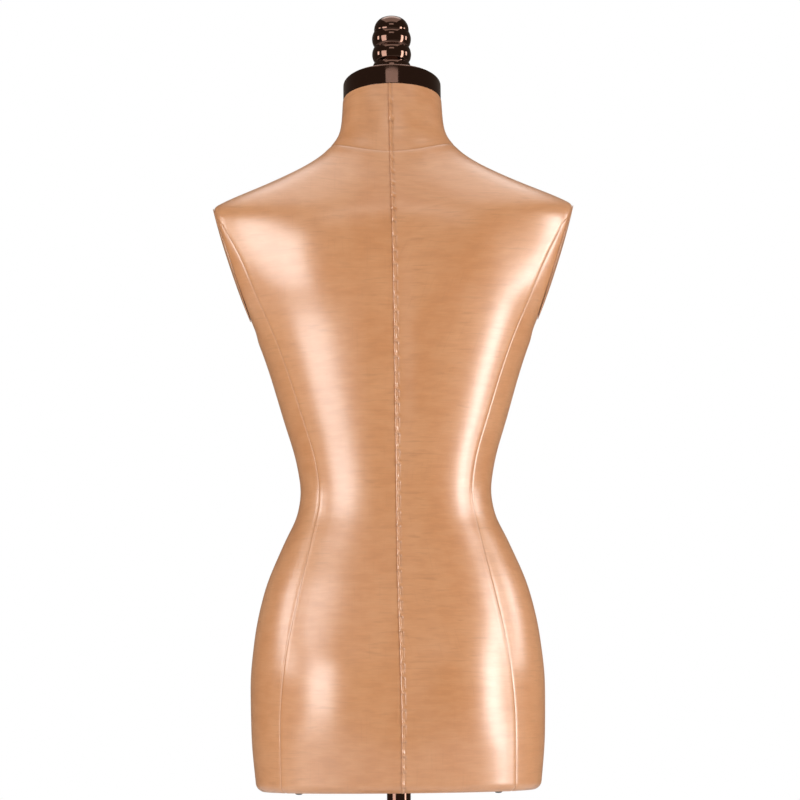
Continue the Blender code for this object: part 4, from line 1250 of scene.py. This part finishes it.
@dataclass
class Carcass:
    """What is under the cover: the moulded body, the bottom board with its bush, and the glides."""

    form: TorsoForm
    shell_outer: float = 0.00135
    shell_wall: float = 0.0040
    board_recess: float = 0.0008
    board_thickness: float = 0.012
    board_inset: float = 0.0026
    board_points: int = 240
    board_bore: float = 0.0163
    board_edge: float = 0.0006
    bush_bore: float = 0.0130
    bush_sleeve: float = 0.0160
    shell_columns: int = 160
    shell_row_step: float = 0.004

    def shell(self) -> bpy.types.Object:
        """The moulded body, an even wall under the cover.

        Returns:
            The shell.
        """
        form = self.form
        heights = np.concatenate([[0, 0.001, 0.0025, 0.0045, 0.007],
                                  np.arange(0.010, form.neck_top, self.shell_row_step), [form.neck_top]])
        angles = np.linspace(0, 360, self.shell_columns, endpoint=False)
        height, angle = np.meshgrid(heights, angles, indexing="ij")
        face, normal = form.surface(height, angle), form.normals(height, angle)
        outer = face - normal * self.shell_outer
        inner = face - normal * (self.shell_outer + self.shell_wall)
        rows, columns = height.shape
        index = np.arange(rows * columns).reshape(rows, columns)
        after = np.roll(index, -1, axis=1)
        front = np.stack([index[:-1], after[:-1], after[1:], index[1:]], axis=-1).reshape(-1, 4)
        back = front[:, ::-1] + rows * columns
        deep = rows * columns
        low = np.stack([after[0], index[0], index[0] + deep, after[0] + deep], axis=1)
        high = np.stack([index[-1], after[-1], after[-1] + deep, index[-1] + deep], axis=1)
        points = np.concatenate([outer.reshape(-1, 3), inner.reshape(-1, 3)])
        obj = mesh_piece("moulded_body", points, np.concatenate([front, back, low, high]))
        return place_piece(obj, Body.TORSO, SHELL, "body_shell")

    def board(self) -> bpy.types.Object:
        """The plywood board that closes the hem.

        Returns:
            The board.
        """
        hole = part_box("board_bush")[1].x
        angles = np.linspace(0, 360, self.board_points, endpoint=False)
        zero = np.zeros_like(angles)
        edge = self.form.surface(zero, angles)
        along = self.form.surface(zero, angles + 0.5) - self.form.surface(zero, angles - 0.5)
        inward = np.stack([along[:, 1], -along[:, 0], zero], axis=1)
        inward /= np.linalg.norm(inward, axis=1, keepdims=True)
        inward *= np.where((inward * edge).sum(axis=1) > 0, -1, 1)[:, None]
        rim = edge + inward * self.board_inset
        low, high = HEM + self.board_recess, HEM + self.board_recess + self.board_thickness
        turn = np.radians(angles)
        bore, wide = (np.stack([radius * np.sin(turn), radius * np.cos(turn), zero], axis=1)
                      for radius in (self.board_bore, hole))
        soft = self.board_edge
        rings = []
        for ring, level, pull in ((bore, low, 0), (wide, low, 0), (rim, low, soft), (rim, low + soft, 0),
                                  (rim, high - soft, 0), (rim, high, soft), (wide, high, 0), (bore, high, 0)):
            placed = ring + (inward * pull if ring is rim else 0)
            placed[:, 2] = level
            rings.append(placed)
        count = self.board_points
        index = np.arange(len(rings) * count).reshape(len(rings), count)
        after, above = np.roll(index, -1, axis=1), np.roll(index, -1, axis=0)
        corner = np.roll(after, -1, axis=0)
        faces = np.stack([index, above, corner, after], axis=-1).reshape(-1, 4)
        obj = mesh_piece("bottom_board", np.concatenate(rings), faces)
        Bench.pick(obj)
        Bench.finish("bottom_board")
        return place_piece(obj, Body.TORSO, TIMBER, "bottom_board")

    def bush(self) -> bpy.types.Object:
        """The flanged nylon bush in the board.

        Returns:
            The bush.
        """
        low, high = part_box("board_bush")
        bore, sleeve, flange = self.bush_bore, self.bush_sleeve, high.x
        seat = HEM + self.board_recess - 0.0003
        shape = outline((bore, low.z), (flange, low.z, 0.0012), (flange, seat, 0.0004), (sleeve, seat),
                        (sleeve, high.z, 0.0005), (bore, high.z))
        return place_piece(Bench.turn("board_bush", shape), Body.TORSO, NYLON, "board_bush")

    def glides(self) -> None:
        """Four nail-on glides under the board, each turned where its node stands."""
        for number in range(1, 5):
            name = f"glide_{number}"
            low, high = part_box(name)
            radius, centre = (high.x - low.x) / 2, (low + high) / 2
            height = high.z - low.z
            shape = outline((0, 0), (radius * 0.62, 0.0002, 0.0010), (radius, 0.0016, 0.0012),
                            (radius, height, 0.0003), (0, height))
            place = Matrix.Translation((centre.x, centre.y, low.z))
            place_piece(Bench.turn(name, shape, place, 40), Body.TORSO, BLACK_PLASTIC, name)

    def build(self) -> None:
        """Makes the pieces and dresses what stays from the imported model."""
        self.shell()
        self.board()
        self.bush()
        self.glides()
        TIMBER.dress(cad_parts["neck_block"])
        STEEL.dress(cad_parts["t_nut"])
        BRASS.dress(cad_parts["pivot_cup"])


@dataclass
class Headpiece:
    """The metal cap on the neck with its seat, washer and finial."""

    form: TorsoForm
    cap_height: float = 0.0235
    cap_wall: float = 0.0012
    cap_edge: float = 0.0028
    cap_reveal: float = 0.0006
    seat_radius: float = 0.019
    bead_radius: float = 0.0182
    bead_swell: float = 0.0031
    bead_pitch: float = 0.0172
    first_bead: float = 0.0256
    dome_radius: float = 0.019
    dome_height: float = 0.0165
    stud_bore: float = 0.0043

    def __post_init__(self) -> None:
        """Works out the cap's tilted frame."""
        *_, last = self.form.sections
        self.radius = last[1] * MM
        tilt = math.atan(last[5] / last[2])
        self.place = Matrix.Translation((0, 0, HEM + self.form.neck_top)) @ Matrix.Rotation(tilt, 4, "X")

    def cap(self) -> bpy.types.Object:
        """The pressed cap, tilted with the neck's top.

        Returns:
            The cap.
        """
        radius, top, wall = self.radius - self.cap_reveal, self.cap_height, self.cap_wall
        shape = outline((0, top - wall), (radius - wall, top - wall, 0.0018), (radius - wall, 0.0003),
                        (radius, 0.0003, 0.0004), (radius, top, self.cap_edge), (0, top), steps=8)
        obj = Bench.turn("neck_cap", shape, self.place, 128)
        return place_piece(obj, Body.TORSO, DARK_CHROME, "neck_cap")

    def seat(self) -> bpy.types.Object:
        """The collar under the finial, cut to the cap's slope.

        Returns:
            The seat.
        """
        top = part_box("finial_seat")[1].z
        base, radius = HEM + self.form.neck_top, self.seat_radius
        shape = outline((self.stud_bore, base), (radius, base), (radius, top, 0.0009), (self.stud_bore, top))
        seat = Bench.turn("finial_seat", shape, sides=96)
        level = self.cap_height - 0.0002
        slope = Bench.turn("slope", [(0, -0.05), (0.06, -0.05), (0.06, level), (0, level)], self.place, 48)
        return place_piece(Bench.combine(seat, slope, "DIFFERENCE"), Body.TORSO, DARK_CHROME, "finial_seat")

    def finial(self) -> bpy.types.Object:
        """The turned finial: three beads under a dome.

        Returns:
            The finial.
        """
        low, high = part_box("finial")
        top, foot = high.z, self.dome_radius
        dome_low, bead = top - self.dome_height, top - self.first_bead
        turns = np.radians(np.linspace(90, 0, 20))
        shape = [(self.dome_radius * math.cos(a) ** 0.86, dome_low + self.dome_height * math.sin(a) ** 0.9)
                 for a in turns]
        shape[0] = (0.0, top)
        shape += [(0.0189, dome_low - 0.0006), (0.0184, dome_low - 0.0013), (0.0178, dome_low - 0.0017)]
        for height in np.linspace(bead + 0.0072, bead - self.bead_pitch * 1.87, 90):
            swing = abs(math.cos(math.pi * (height - bead) / self.bead_pitch))
            shape.append((self.bead_radius + self.bead_swell * swing**0.6, float(height)))
        shape += outline((foot, low.z + 0.006), (foot, low.z, 0.0007), (self.stud_bore, low.z),
                         (self.stud_bore, low.z + 0.0205), (0, low.z + 0.0205))
        obj = Bench.turn("finial", shape, sides=96)
        return place_piece(obj, Body.FINIAL, DARK_CHROME, "finial")

    def washer(self) -> bpy.types.Object:
        """The nylon washer between seat and finial.

        Returns:
            The washer.
        """
        low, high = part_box("finial_washer")
        shape = outline((self.stud_bore, low.z), (high.x, low.z, 0.0004), (high.x, high.z, 0.0004),
                        (self.stud_bore, high.z))
        return place_piece(Bench.turn("finial_washer", shape), Body.FINIAL_WASHER, NYLON, "finial_washer")

    def build(self) -> None:
        """Makes the pieces."""
        self.cap()
        self.seat()
        self.washer()
        self.finial()
        STEEL.dress(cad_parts["finial_stud"])


@dataclass
class Stand:
    """The round base, the tube on its flange, and the bush that guides the pole."""

    plate_edge: float = 0.0030
    bolt_hole: float = 0.0053
    recess_radius: float = 0.013
    recess_depth: float = 0.006
    tube_wall: float = 0.0020
    tube_clearance: float = 0.0003
    flange_thickness: float = 0.006
    socket_radius: float = 0.0225
    screw_count: int = 3
    shank_radius: float = 0.0025
    key_radius: float = 0.00165
    key_depth: float = 0.0018

    def base(self) -> None:
        """The weighted plate and its four pads."""
        low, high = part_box("base_plate")
        radius = high.x
        hole, recess, ceiling = self.bolt_hole, self.recess_radius, low.z + self.recess_depth
        shape = outline((hole, ceiling), (recess, ceiling), (recess, low.z, 0.0008), (radius, low.z, 0.0020),
                        (radius, high.z, self.plate_edge), (hole, high.z), steps=8)
        place_piece(Bench.turn("base_plate", shape, sides=192), Body.STAND, BLACK_PAINT, "base_plate")
        for number in range(1, 5):
            name = f"base_pad_{number}"
            low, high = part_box(name)
            centre, half, height = (low + high) / 2, (high.x - low.x) / 2, high.z - low.z
            shape = outline((0, 0), (half * 0.5, 0), (half, 0, 0.0010), (half, height), (0, height))
            place = Matrix.Translation((centre.x, centre.y, low.z))
            place_piece(Bench.turn(name, shape, place, 48), Body.STAND, RUBBER, name)

    def flange(self) -> None:
        """The turned flange with its screws."""
        low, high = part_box("base_flange")
        step, bore = low.z + self.flange_thickness, TUBE_RADIUS + self.tube_clearance
        shape = outline((bore, low.z), (high.x, low.z, 0.0006), (high.x, step, 0.0022),
                        (self.socket_radius, step, 0.0045), (self.socket_radius, high.z, 0.0016), (bore, high.z),
                        steps=7)
        place_piece(Bench.turn("base_flange", shape, sides=96), Body.STAND, DARK_CHROME, "base_flange")
        for number in range(1, self.screw_count + 1):
            self.screw(f"flange_screw_{number}", step)

    def screw(self, name: str, seat: float) -> None:
        """A button-head screw with a hexagon socket.

        Args:
            name: Its node's name.
            seat: Height of the face under its head.
        """
        low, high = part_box(name)
        centre, head, shank = (low + high) / 2, (high.x - low.x) / 2, self.shank_radius
        place = Matrix.Translation((centre.x, centre.y, 0))
        shape = outline((0, low.z), (shank, low.z, 0.0005), (shank, seat), (head, seat), (head, seat + 0.0010),
                        (head * 0.72, high.z, 0.0016), (0, high.z))
        body = Bench.turn(name, shape, place, 48)
        Bench.clear()
        bpy.ops.mesh.primitive_cylinder_add(vertices=6, radius=self.key_radius, depth=2 * self.key_depth,
                                            location=(centre.x, centre.y, high.z))
        Bench.combine(body, Bench.finish(name + "_socket"), "DIFFERENCE")
        place_piece(body, Body.STAND, STEEL, name)

    def tube(self) -> None:
        """The lower tube and the guide bush in its mouth."""
        low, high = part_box("outer_tube")
        inner = TUBE_RADIUS - self.tube_wall
        shape = outline((inner, low.z), (TUBE_RADIUS, low.z, 0.0005), (TUBE_RADIUS, high.z, 0.0005),
                        (inner, high.z))
        place_piece(Bench.turn("outer_tube", shape, sides=96), Body.STAND, DARK_CHROME, "outer_tube")
        NYLON.dress(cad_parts["guide_bush"])

    def build(self) -> None:
        """Makes the pieces and dresses the hidden fastener."""
        self.base()
        self.flange()
        self.tube()
        STEEL.dress(*(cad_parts[name] for name in ("base_bolt", "base_washer", "tube_plug")))


@dataclass
class Clamp:
    """The collar on the tube, with its thumb knob."""

    collar_radius: float = 0.0225
    collar_lip: float = 0.0045
    boss_radius: float = 0.010
    boss_root: float = 0.003
    stud_radius: float = 0.004
    clearance: float = 0.00025
    tube_clearance: float = 0.0003
    travel: float = 0.0025
    knob_radius: float = 0.023
    knob_edge: float = 0.0026
    hub_radius: float = 0.009
    hub_length: float = 0.0055
    lobes: int = 5
    lobe_steps: int = 24
    lobe_depth: float = 0.0035

    def __post_init__(self) -> None:
        """Reads the clamp's axis from its stud."""
        low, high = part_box("clamp_stud")
        self.axis = Matrix.Translation((0, 0, (low.z + high.z) / 2)) @ Matrix.Rotation(math.pi / 2, 4, "Y")

    def collar(self) -> bpy.types.Object:
        """The collar with its boss.

        Returns:
            The collar.
        """
        low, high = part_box("clamp_collar")
        lip, bore, radius = POLE_RADIUS + 0.0006, TUBE_RADIUS + self.tube_clearance, self.collar_radius
        ceiling = high.z - self.collar_lip
        shape = outline((lip, ceiling), (bore, ceiling), (bore, low.z), (radius, low.z, 0.0014),
                        (radius, high.z, 0.0026), (lip, high.z, 0.0008), (lip, ceiling), steps=6)[:-1]
        collar = Bench.turn("clamp_collar", shape, sides=96)
        inner, end = TUBE_RADIUS + self.boss_root, high.x
        boss = outline((0.0, inner), (self.boss_radius, inner), (self.boss_radius, end, 0.0012), (0.0, end))
        Bench.combine(collar, Bench.turn("boss", boss, self.axis, 64), "UNION")
        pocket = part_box("clamp_pad")[1].z - self.axis.translation.z + self.clearance
        stud, floor = self.stud_radius + self.clearance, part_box("clamp_stud")[0].x + self.travel + MM
        drill = outline((0.0, POLE_RADIUS), (pocket, POLE_RADIUS), (pocket, floor), (stud, floor),
                        (stud, end + 2 * MM), (0.0, end + 2 * MM))
        Bench.combine(collar, Bench.turn("drill", drill, self.axis, 48), "DIFFERENCE")
        return place_piece(collar, Body.STAND, DARK_CHROME, "clamp_collar")

    def knob(self) -> bpy.types.Object:
        """The five-lobed knob: a disc whose hollows are drawn in, then raised, crowned and rounded.

        Returns:
            The knob.
        """
        low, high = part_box("clamp_knob")
        face, hub, outer = low.x + self.hub_length, self.hub_radius, self.knob_radius
        count = self.lobes * self.lobe_steps
        Bench.clear()
        bpy.ops.mesh.primitive_circle_add(vertices=count, radius=outer, fill_type="NGON")
        bpy.ops.object.mode_set(mode="EDIT")
        bpy.ops.mesh.extrude_region_move(TRANSFORM_OT_translate={"value": (0, 0, high.x - face)})
        for phase in range(1, self.lobe_steps // 2 + 1):
            swing = 0.5 * (1 - math.cos(2 * math.pi * phase / self.lobe_steps))
            self._pick_phase(phase)
            draw = 1 - self.lobe_depth / outer * swing
            bpy.ops.transform.resize(value=(draw, draw, 1), center_override=(0, 0, 0))
        bpy.ops.object.mode_set(mode="OBJECT")
        obj = bpy.context.active_object
        self._bevel(obj, self.knob_edge, 5)
        self._crown(obj, high.x - face)
        Bench.finish("clamp_knob")
        obj.data.transform(self.axis @ Matrix.Translation((0, 0, face)))
        bore, root = self.stud_radius + self.tube_clearance, face + 2 * MM
        stem = outline((bore, low.x), (hub, low.x, 0.0008), (hub, root), (bore, root))
        Bench.combine(obj, Bench.turn("stem", stem, self.axis, 64), "UNION")
        return place_piece(obj, Body.CLAMP_KNOB, BLACK_PLASTIC, "clamp_knob")

    def _pick_phase(self, phase: int) -> None:
        """Selects only the rim points that lie a number of steps from a lobe's middle.

        Args:
            phase: The number of steps.
        """
        bpy.ops.mesh.select_all(action="DESELECT")
        bpy.ops.object.mode_set(mode="OBJECT")
        pitch = 2 * math.pi / self.lobes
        for vertex in bpy.context.active_object.data.vertices:
            turn = math.atan2(vertex.co.y, vertex.co.x) % pitch
            steps = round(turn / pitch * self.lobe_steps)
            vertex.select = min(steps, self.lobe_steps - steps) == phase
        bpy.ops.object.mode_set(mode="EDIT")

    @staticmethod
    def _bevel(obj: bpy.types.Object, width: float, segments: int) -> None:
        """Rounds the sharp edges.

        Args:
            obj: The knob.
            width: Width of the rounding.
            segments: Facets across it.
        """
        bpy.ops.object.modifier_add(type="BEVEL")
        modifier = obj.modifiers[-1]
        modifier.width, modifier.segments = width, segments
        modifier.limit_method, modifier.angle_limit = "ANGLE", math.radians(60)
        bpy.ops.object.modifier_apply(modifier=modifier.name)

    @staticmethod
    def _crown(obj: bpy.types.Object, top: float) -> None:
        """Insets the outer face and draws in a shallow dish.

        Args:
            obj: The knob.
            top: Level of the face.
        """
        bpy.ops.object.mode_set(mode="EDIT")
        bpy.ops.mesh.select_all(action="DESELECT")
        bpy.ops.object.mode_set(mode="OBJECT")
        for polygon in obj.data.polygons:
            polygon.select = polygon.center.z > top - 1e-4 and polygon.normal.z > 0.99
        bpy.ops.object.mode_set(mode="EDIT")
        for thickness, depth in ((0.0035, 0.0), (0.0008, -0.0009), (0.0008, -0.0003)):
            bpy.ops.mesh.inset(thickness=thickness, depth=depth)
        bpy.ops.object.mode_set(mode="OBJECT")

    def build(self) -> None:
        """Makes the pieces and dresses pad and stud."""
        self.collar()
        self.knob()
        BRASS.dress(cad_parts["clamp_pad"])
        STEEL.dress(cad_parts["clamp_stud"])


@dataclass
class Pole:
    """The sliding pole with its foot and pivot."""

    wall: float = 0.0015

    def build(self) -> None:
        """Makes the pole and dresses its ends."""
        low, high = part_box("inner_pole")
        inner = POLE_RADIUS - self.wall
        shape = outline((inner, low.z), (POLE_RADIUS, low.z, 0.0004), (POLE_RADIUS, high.z, 0.0004),
                        (inner, high.z))
        place_piece(Bench.turn("inner_pole", shape, sides=96), Body.POLE, DARK_CHROME, "inner_pole")
        NYLON.dress(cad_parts["pole_foot"])
        STEEL.dress(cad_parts["pole_pivot"])


@dataclass(frozen=True)
class Softbox:
    """A tall soft light that faces the form's axis."""

    name: str
    azimuth: float
    distance: float
    width: float
    height: float
    level: float
    power: float
    colour: Colour = (1.0, 1.0, 1.0)
    aim: Triple = (0.0, 0.0, 1.15)

    def build(self) -> None:
        """Hangs the light. Its azimuth runs from the back (+Y) towards +X."""
        light = bpy.data.lights.new(self.name, "AREA")
        light.shape, light.size, light.size_y = "RECTANGLE", self.width, self.height
        light.energy, light.color = self.power, self.colour
        obj = bpy.data.objects.new(self.name, light)
        turn = math.radians(self.azimuth)
        place = Vector((self.distance * math.sin(turn), self.distance * math.cos(turn), self.level))
        turned = (place - Vector(self.aim)).to_track_quat("Z", "Y")
        obj.matrix_world = Matrix.Translation(place) @ turned.to_matrix().to_4x4()
        bpy.context.scene.collection.objects.link(obj)


@dataclass
class Studio:
    """The pale floor, the lights and the camera."""

    camera_place: tuple[float, float, float] = (-0.0054, 3.0, 0.874)
    camera_rise: float = 5.77
    camera_roll: float = -0.57
    lens: float = 125.6
    floor_size: float = 7.0
    floor_glow: float = 0.28
    ambient: Colour = (0.14, 0.115, 0.095)
    backdrop: Colour = (1.0, 1.0, 1.0)
    softboxes: tuple[Softbox, ...] = (
        Softbox("key_left", 46, 2.6, 1.40, 1.9, 1.30, 43),
        Softbox("key_right", -67, 2.3, 0.60, 2.1, 1.15, 39),
        Softbox("side_left", 84, 2.4, 0.5, 0.8, 1.75, 9),
        Softbox("side_right", -96, 2.4, 0.5, 0.8, 1.75, 9),
        Softbox("back_card", 0, 3.0, 1.7, 0.7, 3.7, 6),
        Softbox("overhead", 0, 0.05, 5.0, 5.0, 5.4, 95, (1.0, 0.98, 0.96)),
        Softbox("front_fill", 180, 1.9, 2.6, 1.6, 4.4, 26, (1.0, 0.98, 0.96)),
    )

    def build(self) -> None:
        """Sets the scene."""
        self._floor()
        self._world()
        for softbox in self.softboxes:
            softbox.build()
        self._camera()

    def _floor(self) -> None:
        """A pale floor under the stand, which the camera sees evenly bright."""
        Bench.clear()
        bpy.ops.mesh.primitive_plane_add(size=self.floor_size, location=(0, 0, 0))
        floor = bpy.context.active_object
        floor.name = "floor"
        graph = Graph("pale_floor")
        cloud = graph.noise(graph.coords(), scale=3.0, detail=3.0)
        seen = graph.node("LightPath").outputs["Is Camera Ray"]
        graph.set(Base_Color=graph.blend(cloud, (0.80, 0.80, 0.80), (0.76, 0.76, 0.77)), Roughness=0.6,
                  Emission_Color=(0.97, 0.97, 1.0, 1.0),
                  Emission_Strength=graph.math("MULTIPLY", seen, self.floor_glow))
        floor.data.materials.append(graph.material)

    def _world(self) -> None:
        """White to the camera, and a dim warm grey to everything else."""
        world = bpy.data.worlds.new("studio")
        bpy.context.scene.world = world
        world.use_nodes = True
        tree = world.node_tree
        background = tree.nodes["Background"]
        path = tree.nodes.new("ShaderNodeLightPath")
        mix = tree.nodes.new("ShaderNodeMix")
        mix.data_type = "RGBA"
        tree.links.new(path.outputs["Is Camera Ray"], mix.inputs["Factor"])
        sockets = [socket for socket in mix.inputs if socket.type == "RGBA"]
        for socket, colour in zip(sockets, (self.ambient, self.backdrop)):
            socket.default_value = (*colour, 1.0)
        tree.links.new(next(s for s in mix.outputs if s.type == "RGBA"), background.inputs["Color"])

    def _camera(self) -> None:
        """The camera behind the form, a little below its middle and tilted up."""
        data = bpy.data.cameras.new("camera")
        data.lens = self.lens
        obj = bpy.data.objects.new("camera", data)
        rise = math.radians(self.camera_rise)
        back = Vector((0, math.cos(rise), -math.sin(rise)))
        right = Vector((-1, 0, 0))
        turned = Matrix((right, back.cross(right), back)).transposed().to_4x4()
        roll = Matrix.Rotation(math.radians(self.camera_roll), 4, "Z")
        obj.matrix_world = Matrix.Translation(self.camera_place) @ turned @ roll
        bpy.context.scene.collection.objects.link(obj)
        bpy.context.scene.camera = obj
        bpy.context.scene.view_settings.view_transform = "Standard"


def main() -> None:
    """Builds the sub-assemblies in order."""
    form = TorsoForm()
    for part in (Covers(form), Carcass(form), Headpiece(form), Pole(), Clamp(), Stand(), Studio()):
        LOG.info("Building %s", type(part).__name__)
        part.build()


if __name__ == "__main__":
    main()
